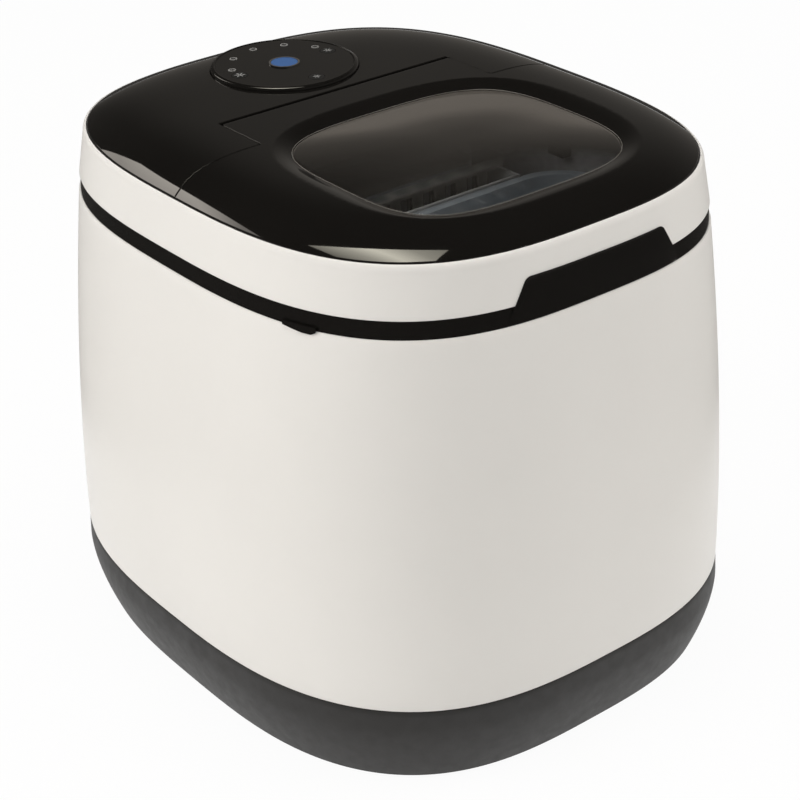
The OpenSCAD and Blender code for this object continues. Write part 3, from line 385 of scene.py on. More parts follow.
def smoked(name):
    """Smoked clear plastic: clear from above; its own brown tint, lightened at a slant by a painted sheen."""
    mat, tree, bsdf = shader(name)
    slant = tree.nodes.new("ShaderNodeLayerWeight")
    slant.inputs["Blend"].default_value = 0.5
    # stops of Layer Weight's Facing: 0 face on, 1 edge on
    # painted sheen: the base colour grows lighter towards edge on, over the plastic's own brown tint
    sheen_by_slant = [(0.46, 0.012), (0.55, 0.022), (0.61, 0.027), (0.65, 0.033), (0.68, 0.055), (0.705, 0.115)]
    tint_and_sheen = [(p, (v, v * 0.9, v * 0.79)) for p, v in sheen_by_slant]
    cover = [(0.46, 0.30), (0.56, 0.45), (0.62, 0.92)]
    tree.links.new(ramp(tree, slant.outputs["Facing"], tint_and_sheen), bsdf.inputs["Base Color"])
    tree.links.new(ramp(tree, slant.outputs["Facing"], cover), bsdf.inputs["Alpha"])
    fine = noise(tree, 120, 4, 0.6)
    tree.links.new(spread(tree, fine.outputs["Fac"], 0.02, 0.05), bsdf.inputs["Roughness"])
    bsdf.inputs["IOR"].default_value = 1.5
    return mat


MATS["smoked_clear"] = smoked("smoked_clear")
slot_of = {s["node"]: s["material_slot"] for s in frame["record"]["subparts"]}
slot_of["led_rims"] = "light_rim"             # the photo shows pale rings round dark lights

for name, obj in nodes.items():
    obj.data.materials.clear()
    obj.data.materials.append(MATS[slot_of[name]])
    for poly in obj.data.polygons:
        poly.material_index = 0
    smooth(obj.data)


# ---------------------------------------------------------------- cabinet
WALL = 2.5
EASE, EASE_MID = 0.6, 0.18                    # eased edges where skirt and shell meet
TOP_EASE, TOP_EASE_MID = 0.9, 0.26            # and where shell and band meet
SKIRT_BEND = 20                               # closer rings below this height
LIP_TOP = SKIRT_TOP + 6.6                     # the pan's lip stands up inside the shell
LIP_IN, PAN_IN = 2.7, 5.7                     # the lip's outside and inside, from the outline
PAN_LEVELS = (56, 44, 34, 25, 18, 12, 7)
REAR_END = 230                                # cutters end well behind the rear face
FAN_X = 55
VENT_COUNT, VENT_PITCH, VENT_W = 8, 13, 6     # slots under the fan
VENT_Y = (60, 104)
FLOOR_CUT = (-1, 9)                           # cuts through the pan's floor
FOOT_X, FOOT_Y, FOOT_HOLE = 118, 132, 4.1
SCREW_X, SCREW_HEAD, SCREW_LONG = (-64, 0, 64), 3.6, 20
SCREW_SINK = 1.3                              # how deep the screw heads sit in the shell
DRAIN_HOLE = 15
GRILLE_HALF, GRILLE_LIP, GRILLE_FROM = 95, 5, 120  # opening behind the grille, which covers it by its lip
INLET_HALF, INLET_LIP, INLET_FROM = 25, 4, 150
SIDE_X, CUT_LONG = 175, 50


def spaced(z0, z1, count):
    return [z0 + (z1 - z0) * i / count for i in range(count + 1)]


def middle_mm(node):
    return [(low + high) / 2 for low, high in zip(*box_mm(node))]


def back_y(x, z):
    """Y of the rear face at x and height z."""
    a, b, n = half_a(z), half_b(z), squareness(z)
    return b * (1 - abs(x / a) ** n) ** (1 / n)


skirt_levels = spaced(SKIRT_BOTTOM, SKIRT_BEND, 12) + spaced(SKIRT_BEND, SKIRT_TOP - EASE, 10)[1:]
rings = [level(z) for z in skirt_levels]
rings += [level(SKIRT_TOP - EASE_MID, EASE_MID), level(SKIRT_TOP, EASE)]
rings += [level(SKIRT_TOP, LIP_IN), level(LIP_TOP, LIP_IN), level(LIP_TOP, PAN_IN)]
rings += [level(z, PAN_IN) for z in PAN_LEVELS]
pan = bpy.data.meshes.new("skirt_pan")
count = len(rings)
faces = ring_faces(count, AROUND, False)
faces.append(tuple(reversed(range(AROUND))))
faces.append(tuple((count - 1) * AROUND + i for i in range(AROUND)))
pan.from_pydata(in_metres(rings), [], faces)
skirt = finish_mesh("skirt_pan", pan, "cabinet", MATS["skirt_charcoal"], ["base_pan"], "skirt_charcoal")
vents = []
for i in range(VENT_COUNT):
    vent_x = FAN_X - VENT_COUNT * VENT_PITCH / 2 + VENT_PITCH * i
    vents.append(box_tool(vent_x, vent_x + VENT_W, *VENT_Y, *FLOOR_CUT))
foot_z, foot_long = 6, 14
feet = [rod_tool(x, y, foot_z, FOOT_HOLE, foot_long, "Z") for x in (-FOOT_X, FOOT_X) for y in (-FOOT_Y, FOOT_Y)]
cut(skirt, vents + feet)

outer = [level(SKIRT_TOP, EASE), level(SKIRT_TOP + EASE_MID, EASE_MID)]
outer += [level(z) for z in spaced(SKIRT_TOP + EASE, BAND_BOTTOM - TOP_EASE, 44)]
outer += [level(BAND_BOTTOM - TOP_EASE_MID, TOP_EASE_MID), level(BAND_BOTTOM, TOP_EASE)]
inner = [level(z, WALL) for z in reversed(spaced(SKIRT_TOP, BAND_BOTTOM, 10))]
grille_lo, grille_hi = box_mm("rear_grille")
inlet_lo, inlet_hi = box_mm("power_inlet")
_, plug_y, plug_z = middle_mm("drain_plug")
screw_z = middle_mm("case_screws")[2]
cutters = [
    box_tool(-GRILLE_HALF, GRILLE_HALF, GRILLE_FROM, REAR_END, grille_lo[2] + GRILLE_LIP, grille_hi[2] - GRILLE_LIP),
    box_tool(-INLET_HALF, INLET_HALF, INLET_FROM, REAR_END, inlet_lo[2] + INLET_LIP, inlet_hi[2] - INLET_LIP),
    rod_tool(SIDE_X, plug_y, plug_z, DRAIN_HOLE, CUT_LONG, "X", 64),
]
for x in SCREW_X:
    head_y = back_y(x, screw_z) + SCREW_LONG / 2 - SCREW_SINK
    cutters.append(rod_tool(x, head_y, screw_z, SCREW_HEAD, SCREW_LONG, "Y", 32))
hoop("cabinet_shell", outer + inner, "cabinet", MATS["shell_white"], cutters,
     replaces=["main_shell"], slot="shell_white")

BAND_STEP = 0.8                               # the band's face lies this far inside the outline
BAND_TAIL, TAIL_OUT, BAND_IN = 7, 2.65, 6.5   # tail that hangs inside the shell
band = [level(BAND_BOTTOM - BAND_TAIL, TAIL_OUT), level(BAND_BOTTOM, TAIL_OUT), level(BAND_BOTTOM, BAND_STEP)]
band += [level(BAND_TOP, BAND_STEP), level(BAND_TOP, BAND_IN), level(BAND_BOTTOM, BAND_IN)]
band += [level(BAND_BOTTOM - BAND_TAIL, BAND_IN)]
hoop("black_band", band, "cabinet", MATS["piano_black"], replaces=["trim_band"], slot="piano_black")


def top_ring(t, z):
    """Rounded shoulder of the white ring: t 0 at its outer edge, 1 at its top."""
    round_in = 1 - math.sqrt(max(0.0, 1 - t * t))
    return ring(EDGE_A + (DECK_A - EDGE_A) * round_in, EDGE_B + (DECK_B - EDGE_B) * round_in, z)


LEDGE, LEDGE_T, LEDGE_IN = RING_TOP - 5.4, 3, 7  # ledge that the deck rests on
RING_WALL, RING_FOOT, RING_FOOT_MID = 3.2, 0.7, 0.2
RING_IN, RING_IN_DROP = 0.2, 0.25             # rounding of the edge that meets the deck
SHOULDER = (0.15, 0.3, 0.45, 0.6, 0.72, 0.82, 0.9, 0.96, 1)
white = [level(BAND_TOP, RING_FOOT), level(BAND_TOP + RING_FOOT_MID, RING_FOOT_MID), level(BAND_TOP + RING_FOOT)]
white += [level(z) for z in spaced(BAND_TOP + RING_FOOT, RING_EDGE, 12)[1:]]
white += [top_ring(t, RING_EDGE + (RING_TOP - RING_EDGE) * t) for t in SHOULDER]
white += [ring(DECK_A - RING_IN, DECK_B - RING_IN, z) for z in (RING_TOP - RING_IN_DROP, LEDGE)]
white += [ring(DECK_A - LEDGE_IN, DECK_B - LEDGE_IN, z) for z in (LEDGE, LEDGE - LEDGE_T)]
white += [level(LEDGE - LEDGE_T, RING_WALL), level(BAND_TOP, RING_WALL)]
hoop("white_ring", white, "cabinet", MATS["shell_white"], replaces=["upper_ring"], slot="shell_white")

# ---------------------------------------------------------------- front plate
PLATE_W, PLATE_TOP, PLATE_CORNER = 123.0, 321.0, 5.5
PLATE_FLARE, PLATE_FOOT, PLATE_LEAN = 3.15, 9, 13  # the sides flare out at the foot and lean in above it
PLATE_MID = 308
PLATE_SINK = 1.3                              # how far the lower edge sinks into the band
PLATE_EDGE = ((0, 0.05), (0, 0.35), (0.12, 0.52), (0.35, 0.6))  # inset and proudness of the rounded edge
PLATE_SHARES = (0.86, 0.7, 0.5, 0.3, 0.12)    # smaller rings that fill the face


def arc(cx, cy, r, a0, a1, steps):
    turns = [math.radians(a0 + (a1 - a0) * i / steps) for i in range(steps + 1)]
    return [(cx + r * math.cos(t), cy + r * math.sin(t)) for t in turns]


def blend_points(p, q, s):
    """Point a share s of the way from p to q."""
    return p[0] + (q[0] - p[0]) * s, p[1] + (q[1] - p[1]) * s


def open_dense(points, step=3.0):
    """Open chain with points added about every step."""
    out = []
    for p, q in zip(points, points[1:]):
        k = max(1, int(math.dist(p, q) / step))
        out += [blend_points(p, q, j / k) for j in range(k)]
    out.append(points[-1])
    return out


def front_y(x, z, out):
    """Y of the front face at x and height z, moved out by out."""
    a, b, n = half_a(z) + out, half_b(z) + out, squareness(z)
    return -b * (1 - abs(x / a) ** n) ** (1 / n)


def offset_line(points, d):
    """Closed outline moved inwards by d along its own normals."""
    out = []
    n = len(points)
    for i, p in enumerate(points):
        (ax, ay), (bx, by) = points[i - 1], points[(i + 1) % n]
        tx, ty = bx - ax, by - ay
        s = math.hypot(tx, ty) or 1
        out.append((p[0] - ty / s * d, p[1] + tx / s * d))
    return out


def plate_ring(line, proud):
    """The plate stands proud above the band and sinks into it towards its lower edge."""
    points = []
    for x, z in line:
        sunk = min(1.0, max(0.0, (BAND_TOP - z) / (BAND_TOP - BAND_BOTTOM)))
        points.append((x, front_y(x, z, proud - PLATE_SINK * sunk), z))
    return points


right_side = [(PLATE_W / 2 + PLATE_FLARE, BAND_BOTTOM), (PLATE_W / 2, BAND_BOTTOM + PLATE_FOOT)]
right_side += arc(PLATE_W / 2 - PLATE_LEAN, PLATE_TOP - PLATE_CORNER, PLATE_CORNER, 32, 90, 8)
whole_side = right_side + [(-x, z) for x, z in reversed(right_side)]
plate_line = open_dense(whole_side + whole_side[:1], 2.0)[:-1]
plate_rings = [plate_ring(offset_line(plate_line, inset), proud) for inset, proud in PLATE_EDGE]
last_inset, last_proud = PLATE_EDGE[-1]
for s in PLATE_SHARES:
    smaller = [blend_points((0, PLATE_MID), p, s) for p in offset_line(plate_line, last_inset)]
    plate_rings.append(plate_ring(smaller, last_proud))
mesh = bpy.data.meshes.new("front_badge_plate")
n = len(plate_line)
faces = ring_faces(len(plate_rings), n, False)
faces.append(tuple((len(plate_rings) - 1) * n + i for i in range(n)))
faces.append(tuple(reversed(range(n))))
mesh.from_pydata(in_metres(plate_rings), [], faces)
finish_mesh("front_badge_plate", mesh, "cabinet", MATS["piano_black"], ["front_plate"], "piano_black")

# ---------------------------------------------------------------- crowned deck and lid
SEAM_Y, TONGUE = 3.5, 89.3                    # seam between deck and lid, half width of the lid's tongue
SEAM_DIP, DIP_X = 5.5, 128.0                  # outside DIP_X the seam dips forward
SEAM_CORNER, NOTCH_CORNER = 2.0, 0.3
LID_GAP = 0.4
HINGE_Y, HINGE_GAP = 44.5, 3.65               # room for the tongue's rear edge as it turns
BARREL_R, BARREL_LONG, PIN_HOLE = 3.35, 177, 1.56
KNUCKLE_Y, KNUCKLE_Z = (-5, 6), (-4, 1.1)     # the block's reach from the hinge's axis
KNUCKLE_OUT, KNUCKLE_R = 9.3, 1.2
RIM_A, RIM_B = DECK_A - 0.8, DECK_B - 0.8
WIN_POINTS = 240
WIN_A, WIN_B, WIN_N, WIN_CY = 89.0, 77.3, 3.5, -69.0
REC_A, REC_B, REC_N, REC_H = 103.0, 89.5, 2.88, 4.2
REC_STRAIGHT = 0.8                            # the rest of the recess's slope is eased at both ends
SKIN, SKIN_EDGE = 2.6, 0.55                   # thickness and rounded edge of the black skins
RIM_TURNS = (0, 30, 60, 90)
EDGE_ROWS = (0.9, 2.0, 3.6, 6.0, 9.0)         # distances of the denser rows from the edge
GUARD = 0.4                                   # no free point comes closer to the edge than this
ROW_PITCH = 0.866                             # rows of a triangular grid, as a share of its step
PANEL_HOLE = 48.15
DISH_STEPS = (-0.35, -0.12, 0, 0.1, 0.2, 0.3, 0.4, 0.5, 0.6, 0.7, 0.8, 0.9)


def measure(x, y, a, b, n):
    """1 on a superellipse round the window's middle, less inside it."""
    return (abs(x / a) ** n + abs((y - WIN_CY) / b) ** n) ** (1 / n)


def lid_height(x, y):
    """Height of the lid: the crown, dished from the recess's edge down to the window."""
    inside = 1 - measure(x, y, REC_A, REC_B, REC_N)
    if inside <= 0:
        return crown(x, y)
    beyond = max(0.0, measure(x, y, WIN_A, WIN_B, WIN_N) - 1)
    s = inside / (inside + beyond)
    eased = s * s * (3 - 2 * s)
    return crown(x, y) - REC_H * (REC_STRAIGHT * s + (1 - REC_STRAIGHT) * eased)


def slope_normal(height, x, y, h=0.05):
    """Upward normal of the surface z = height(x, y)."""
    gx = (height(x + h, y) - height(x - h, y)) / (2 * h)
    gy = (height(x, y + h) - height(x, y - h)) / (2 * h)
    return Vector((-gx, -gy, 1)).normalized()


def inside_line(x, y, line):
    """Whether the point lies inside a closed outline."""
    hit = False
    n = len(line)
    for i in range(n):
        (x0, y0), (x1, y1) = line[i], line[(i + 1) % n]
        if (y0 > y) != (y1 > y) and x < (x1 - x0) * (y - y0) / (y1 - y0) + x0:
            hit = not hit
    return hit


def skin_rims(loops, height):
    """Rounded edges of a skin: points and normals of each loop's rim, and the loops where its top starts."""
    verts, normals, rims, tops = [], [], [], []
    for line, sign in loops:
        away = offset_line(line, 1.0)
        outward = [Vector(((p[0] - q[0]) * sign, (p[1] - q[1]) * sign, 0)).normalized() for p, q in zip(line, away)]
        inset = [(p[0] - o.x * SKIN_EDGE, p[1] - o.y * SKIN_EDGE) for p, o in zip(line, outward)]
        rims.append((len(verts), len(line), sign))
        tops.append(inset)
        for turn in RIM_TURNS:
            c, s = math.cos(math.radians(turn)), math.sin(math.radians(turn))
            for (x, y), o in zip(inset, outward):
                px, py = x + o.x * SKIN_EDGE * s, y + o.y * SKIN_EDGE * s
                verts.append(Vector((px, py, height(px, py) - SKIN_EDGE * (1 - c))))
                normals.append((slope_normal(height, px, py) * c + o * s).normalized())
        for (px, py), o in zip(line, outward):
            verts.append(Vector((px, py, height(px, py) - SKIN)))
            normals.append(o)
    return verts, normals, rims, tops


def scattered(outline, holes, extra, grid):
    """Points for the top of a skin: a grid, denser rows along the edge, and the extra ones."""
    xs = [p[0] for p in outline]
    ys = [p[1] for p in outline]
    free = []
    y, row = min(ys), 0
    while y < max(ys):
        x = min(xs) + (grid / 2 if row % 2 else 0)
        while x < max(xs):
            free.append((x, y))
            x += grid
        y += grid * ROW_PITCH
        row += 1
    free += [p for d in EDGE_ROWS for p in offset_line(outline, SKIN_EDGE + d)[::2]]
    free += list(extra)
    guard_out = offset_line(outline, SKIN_EDGE + GUARD)
    guard_in = [offset_line(h, -(SKIN_EDGE + GUARD)) for h in holes]
    return [p for p in free if inside_line(*p, guard_out) and not any(inside_line(*p, g) for g in guard_in)]


def skin_panel(name, outline, holes, height, body, replaces, grid=5.0, extra=()):
    """Black skin inside an outline, with holes, rounded edges and the surface's true normals."""
    verts, normals, rims, top_lines = skin_rims([(outline, 1)] + [(h, -1) for h in holes], height)
    flat_pts, flat_edges, rim_vertex = [], [], []
    for (start, n, _), line in zip(rims, top_lines):
        first = len(flat_pts)
        flat_pts += line
        flat_edges += [(first + i, first + (i + 1) % n) for i in range(n)]
        rim_vertex += list(range(start, start + n))
    flat_pts += scattered(outline, holes, extra, grid)
    pts, _, tris, origin = delaunay_2d_cdt([Vector(p) for p in flat_pts], flat_edges, [], 0, 1e-5)[:4]
    index = {}
    for i, src in enumerate(origin):
        known = [s for s in src if s < len(rim_vertex)]
        if known:
            index[i] = rim_vertex[known[0]]
        else:
            x, y = pts[i]
            index[i] = len(verts)
            verts.append(Vector((x, y, height(x, y))))
            normals.append(slope_normal(height, x, y))
    tops = []
    for t in tris:
        cx = sum(pts[i][0] for i in t) / len(t)
        cy = sum(pts[i][1] for i in t) / len(t)
        if inside_line(cx, cy, top_lines[0]) and not any(inside_line(cx, cy, h) for h in top_lines[1:]):
            tops.append(tuple(index[i] for i in t))
    low = {}
    for t in tops:
        for v in t:
            if v not in low:
                low[v] = len(verts)
                verts.append(verts[v] - Vector((0, 0, SKIN)))
    curved, flat_faces = [], [tuple(low[v] for v in reversed(t)) for t in tops]
    foot = len(RIM_TURNS)
    for start, n, sign in rims:
        order = 1 if sign > 0 else -1
        for i in range(n):
            j = (i + 1) % n
            for k in range(foot):
                a, b = start + k * n, start + (k + 1) * n
                curved.append((a + i, b + i, b + j, a + j)[::order])
            a = start + foot * n
            flat_faces.append((a + i, low[start + i], low[start + j], a + j)[::order])
    curved += tops
    mesh = bpy.data.meshes.new(name)
    mesh.from_pydata([v * MM for v in verts], [], curved + flat_faces)
    mesh.shade_smooth()
    corner_normals = []
    for poly in mesh.polygons:
        for v in poly.vertices:
            corner_normals.append(normals[v] if poly.index < len(curved) else Vector((0, 0, -1)))
    mesh.normals_split_custom_set(corner_normals)
    obj = linked(name, mesh)
    mesh.materials.append(MATS["piano_black"])
    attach(obj, body)
    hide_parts(*replaces)


def corner(points, radii, steps=6):
    """Rounds each corner of an open chain of points."""
    out = [points[0]]
    for p, q, s, r in zip(points, points[1:], points[2:], radii):
        p, q, s = Vector(p), Vector(q), Vector(s)
        u, w = (p - q).normalized(), (s - q).normalized()
        angle = math.acos(max(-1, min(1, u.dot(w))))
        reach = r / math.tan(angle / 2)
        centre = q + (u + w).normalized() * (r / math.sin(angle / 2))
        a, b = q + u * reach - centre, q + w * reach - centre
        turn = math.pi - angle
        for i in range(steps + 1):
            k = i / steps
            v = a * (math.sin(turn * (1 - k)) / math.sin(turn)) + b * (math.sin(turn * k) / math.sin(turn))
            out.append(tuple(centre + v))
    out.append(points[-1])
    return out


def seam_side(gap):
    """Right half of the seam from the rim to the tongue; near the rim it dips forward."""
    y_rim = SEAM_Y - SEAM_DIP + gap
    x_rim = RIM_A * (1 - abs(y_rim / RIM_B) ** TOP_N) ** (1 / TOP_N)
    out = []
    for i in range(13):
        x = x_rim + (DIP_X - x_rim) * i / 12
        t = (x - DIP_X) / (x_rim - DIP_X)
        out.append((x, SEAM_Y - SEAM_DIP * t * t + gap))
    return out


def seam_chain(gap):
    """Seam from right rim to left rim, shifted rearwards by gap."""
    side = seam_side(gap)
    front, half_tongue = SEAM_Y + gap, TONGUE + gap
    rear = HINGE_Y + (HINGE_GAP if gap else 0)
    rear_r = NOTCH_CORNER if gap else SEAM_CORNER
    right_half = [side[-1], (half_tongue, front), (half_tongue, rear)]
    chain = right_half + [(-x, y) for x, y in reversed(right_half)]
    middle = corner(chain, [SEAM_CORNER + gap, rear_r, rear_r, SEAM_CORNER + gap])
    return side[:-1] + middle + [(-x, y) for x, y in reversed(side[:-1])]


def plan_rim(lo, hi, steps=300):
    """Part of the skins' outer edge between two angles."""
    pts = []
    for i in range(steps + 1):
        p = lo + (hi - lo) * i / steps
        c, s = math.cos(p), math.sin(p)
        r = (abs(c / RIM_A) ** TOP_N + abs(s / RIM_B) ** TOP_N) ** (-1 / TOP_N)
        pts.append((r * c, r * s))
    return pts


def rim_angle(gap):
    x, y = seam_side(gap)[0]
    return math.atan2(y, x)


# both outlines run counter-clockwise: along the rim first, then back along the seam
end = rim_angle(0.0)
lid_line = plan_rim(math.pi - end, 2 * math.pi + end)[1:-1] + open_dense(seam_chain(0.0))
win_line = oblong(WIN_A, WIN_B, WIN_N, WIN_POINTS, WIN_CY)
rec_line = oblong(REC_A, REC_B, REC_N, WIN_POINTS, WIN_CY)
dish = [blend_points(p, q, s) for s in DISH_STEPS for p, q in zip(rec_line, win_line)]
skin_panel("lid_skin", lid_line, [win_line], lid_height, "lid", ["lid_frame"], extra=dish)

end = rim_angle(LID_GAP)
deck_line = plan_rim(end, math.pi - end)[1:-1] + open_dense(list(reversed(seam_chain(LID_GAP))))
PANEL_Y = middle_mm("control_bezel")[1]
disc_hole = round_points(PANEL_HOLE, 0, PANEL_Y, 160)
skin_panel("deck_skin", deck_line, [disc_hole], crown, "cabinet", ["rear_deck"])

# hinge barrel under the tongue's rear edge
HINGE_Z = middle_mm("hinge_pins")[2]
barrel = rod_tool(0, HINGE_Y, HINGE_Z, BARREL_R, BARREL_LONG, "X", name="lid_barrel")
smooth(barrel.data)
barrel.data.materials.append(MATS["piano_black"])
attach(barrel, "lid")


def knuckle(side):
    """Block under the rear deck that holds one hinge pin."""
    y0, y1 = [HINGE_Y + reach for reach in KNUCKLE_Y]
    z0, z1 = [HINGE_Z + reach for reach in KNUCKLE_Z]
    r = KNUCKLE_R
    section = arc(y1 - r, z1 - r, r, 0, 90, 6) + arc(y0 + r, z1 - r, r, 90, 180, 6)
    section += arc(y0 + r, z0 + r, r, 180, 270, 6) + arc(y1 - r, z0 + r, r, 270, 360, 6)
    name = "hinge_knuckle_right" if side > 0 else "hinge_knuckle_left"
    near, far = TONGUE + LID_GAP, TONGUE + KNUCKLE_OUT
    count = len(section)
    faces = ring_faces(2, count, False)
    faces += [tuple(reversed(range(count))), tuple(range(count, 2 * count))]
    mesh = bpy.data.meshes.new(name)
    mesh.from_pydata(in_metres([[(side * x, y, z) for y, z in section] for x in (near, far)]), [], faces)
    block = finish_mesh(name, mesh, "cabinet", MATS["piano_black"], slot="piano_black")
    cut(block, [rod_tool(side * near, HINGE_Y, HINGE_Z, PIN_HOLE, 14, "X", 32)])


for side in (-1, 1):
    knuckle(side)


# ---------------------------------------------------------------- smoked window
GLASS, DOME = 2.4, 5.0
PANE_PLAY = 0.5                               # between the pane and the opening in the lid
PANE_DROP = REC_H + 0.1                       # how far the pane's edge lies under the crown
PANE_EDGE = ((1, GLASS), (1, 0.75), (0.9985, 0.3))  # share of the pane's size and depth of the rounded edge
PANE_BEND, BEND_DEPTH = 0.995, 0.05           # where the edge turns into the dome
TOP_SHARES = (0.985, 0.97, 0.95, 0.92, 0.88, 0.83, 0.77, 0.7, 0.62, 0.53, 0.43, 0.32, 0.2, 0.08)
UNDER_SHARES = (0.985, 0.92, 0.83, 0.7, 0.53, 0.32, 0.08)
EDGE_R, EDGE_UP, EDGE_INSET = 0.2, 0.1, 0.15  # fine line round the window, its pale colour a painted highlight


def window_edge():
    """Painted highlight: a fine pale line where the pane's edge meets the lid."""
    line = oblong(WIN_A - EDGE_INSET, WIN_B - EDGE_INSET, WIN_N, WIN_POINTS, WIN_CY)
    rings = []
    for turn in range(0, 360, 60):
        out, up = EDGE_R * math.cos(math.radians(turn)), EDGE_R * math.sin(math.radians(turn))
        rings.append([(x, y, lid_height(x, y) + EDGE_UP + up) for x, y in offset_line(line, -out)])
    mesh = bpy.data.meshes.new("window_rim_highlight")
    mesh.from_pydata(in_metres(rings), [], ring_faces(len(rings), WIN_POINTS, True))
    finish_mesh("window_rim_highlight", mesh, "lid", MATS["painted_rim_highlight"], slot="smoked_clear")


def pane(k, drop):
    """Ring at a share k of the pane's size, that far under the crown."""
    line = oblong((WIN_A - PANE_PLAY) * k, (WIN_B - PANE_PLAY) * k, WIN_N, WIN_POINTS, WIN_CY)
    return [(x, y, crown(x, y) - drop) for x, y in line]


def dome(k):
    return DOME * (1 - k * k)


def fan_faces(start, centre, flip=False):
    """Triangles that close the ring from start with its centre."""
    pairs = [(start + i, start + (i + 1) % WIN_POINTS) for i in range(WIN_POINTS)]
    return [(b, a, centre) if flip else (a, b, centre) for a, b in pairs]


window_edge()
win_rings = [pane(k, PANE_DROP + depth) for k, depth in PANE_EDGE]
win_rings.append(pane(PANE_BEND, PANE_DROP + BEND_DEPTH - dome(PANE_BEND)))
win_rings += [pane(k, PANE_DROP - dome(k)) for k in TOP_SHARES]
under = [pane(k, PANE_DROP + GLASS - dome(k)) for k in UNDER_SHARES]
faces = ring_faces(len(win_rings), WIN_POINTS, False)
verts = in_metres(win_rings)
peak = Vector((0, WIN_CY, crown(0, WIN_CY) - PANE_DROP + DOME))
faces += fan_faces(len(verts) - WIN_POINTS, len(verts))
verts.append(peak * MM)
start = len(verts)
verts += in_metres(under)
faces += [(i, start + i, start + (i + 1) % WIN_POINTS, (i + 1) % WIN_POINTS) for i in range(WIN_POINTS)]
faces += [tuple(reversed(f)) for f in ring_faces(len(under), WIN_POINTS, False, start)]
faces += fan_faces(len(verts) - WIN_POINTS, len(verts), flip=True)
verts.append((peak - Vector((0, 0, GLASS))) * MM)
mesh = bpy.data.meshes.new("window_dome")
mesh.from_pydata(verts, [], faces)
finish_mesh("window_dome", mesh, "lid", MATS["smoked_clear"], ["lid_window"], "smoked_clear", sharp=SHARP_ROUND)

# ---------------------------------------------------------------- control disc
DISC_SIDES, DISC_FOOT = 192, 336
BEZEL_TOP = box_mm("control_bezel")[1][2]
# radius and depth under the top, from the inner lip out over the bevel
BEZEL = [(45.0, 0.35), (45.12, 0.1), (45.35, 0), (45.7, 0), (46.0, 0.06), (46.3, 0.17),
         (47.2, 0.56), (47.5, 0.74), (47.8, 1.12), (47.95, 1.6), (48.0, 2.2)]
profile = [(BEZEL[0][0], DISC_FOOT)] + [(r, BEZEL_TOP - drop) for r, drop in BEZEL] + [(BEZEL[-1][0], DISC_FOOT)]
bezel_rings = [[(x, y, z) for x, y in round_points(r, 0, PANEL_Y, DISC_SIDES)] for r, z in profile]
hoop("disc_bezel", bezel_rings, "cabinet", MATS["piano_black"], replaces=["control_bezel"],
     slot="piano_black", sharp=SHARP_ROUND)

ARM_W, BARB_W = 0.045, 0.0315                 # half widths, as shares of the mark's size
BARB_AT, BARB_LONG, BARB_TURN = 0.55, 0.22, 48
MARK_UP, MARK_DOWN = 0.12, 0.05               # how far the mark stands above its key and sinks into it


def snowflake(name, body, cx, cy, z, size, turn=30):
    """Flat six-armed mark, each arm with two side barbs."""
    bm = bmesh.new()

    def bar(p, q, w):
        d = (q - p).normalized()
        s = Vector((-d.y, d.x)) * w
        ring4 = [p - s, q - s, q + s, p + s]
        top = [bm.verts.new((v.x * MM, v.y * MM, (z + MARK_UP) * MM)) for v in ring4]
        bottom = [bm.verts.new((v.x * MM, v.y * MM, (z - MARK_DOWN) * MM)) for v in ring4]
        bm.faces.new(top)
        bm.faces.new(list(reversed(bottom)))
        for i in range(4):
            bm.faces.new((top[i], bottom[i], bottom[(i + 1) % 4], top[(i + 1) % 4]))

    for k in range(6):
        a = math.radians(turn + 60 * k)
        d = Vector((math.cos(a), math.sin(a)))
        c = Vector((cx, cy))
        bar(c, c + d * size, size * ARM_W)
        for side in (-1, 1):
            b = a + side * math.radians(BARB_TURN)
            e = Vector((math.cos(b), math.sin(b)))
            root = c + d * size * BARB_AT
            bar(root, root + e * size * BARB_LONG, size * BARB_W)
    obj = tool_from(bm, name)
    obj.data.materials.append(MATS["mark_white"])
    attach(obj, body)


for key_name, body, size in (("key_left", "left_key", 3.42), ("key_right", "right_key", 2.85),
                             ("key_front", "front_key", 2.47)):
    key_x, key_y, _ = middle_mm(key_name)
    snowflake(key_name + "_mark", body, key_x, key_y, box_mm(key_name)[1][2], size)


# ---------------------------------------------------------------- floor, light, camera
# From here on lengths are in metres; azimuths are in degrees, from -Y towards +X.
FLOOR_HALF = 6.0
FLOOR_TONE, FLOOR_GLOW = 0.92, 0.95           # the rest of the floor's colour takes the shadow
SKY_COLOUR, SKY_STRENGTH = (1, 0.985, 0.96), 0.42
CARD_FAR, ROOM_FAR = 30.0, 40.0               # so far away that they don't shift over the deck
PANEL_GAIN = 12                               # colour ramps stop at 1, so the panels' strength is scaled
WARM = (1.0, 0.93, 0.84)
ROOM_SIDE, ROOM_DARK = 68, 0.3                # azimuth of the lighter side, and what is left of it on the other
SIDE_FROM, SIDE_TO = -0.12, 0.26              # where it changes, as cosines from that azimuth


def bare_material(name):
    mat = bpy.data.materials.new(name)
    mat.use_nodes = True
    mat.node_tree.nodes.clear()
    return mat, mat.node_tree


def math_node(tree, operation, first, second):
    """Maths on two inputs, each a socket or a number."""
    node = tree.nodes.new("ShaderNodeMath")
    node.operation = operation
    for socket, value in zip(node.inputs, (first, second)):
        if isinstance(value, (int, float)):
            socket.default_value = value
        else:
            tree.links.new(value, socket)
    return node.outputs[0]


def emission(name, rgb, strength):
    mat, tree = bare_material(name)
    e = tree.nodes.new("ShaderNodeEmission")
    e.inputs["Color"].default_value = (*rgb, 1)
    e.inputs["Strength"].default_value = strength
    o = tree.nodes.new("ShaderNodeOutputMaterial")
    tree.links.new(e.outputs["Emission"], o.inputs["Surface"])
    return mat


def plain_object(name, verts, faces, material):
    mesh = bpy.data.meshes.new(name)
    mesh.from_pydata(verts, [], faces)
    mesh.materials.append(material)
    return linked(name, mesh)


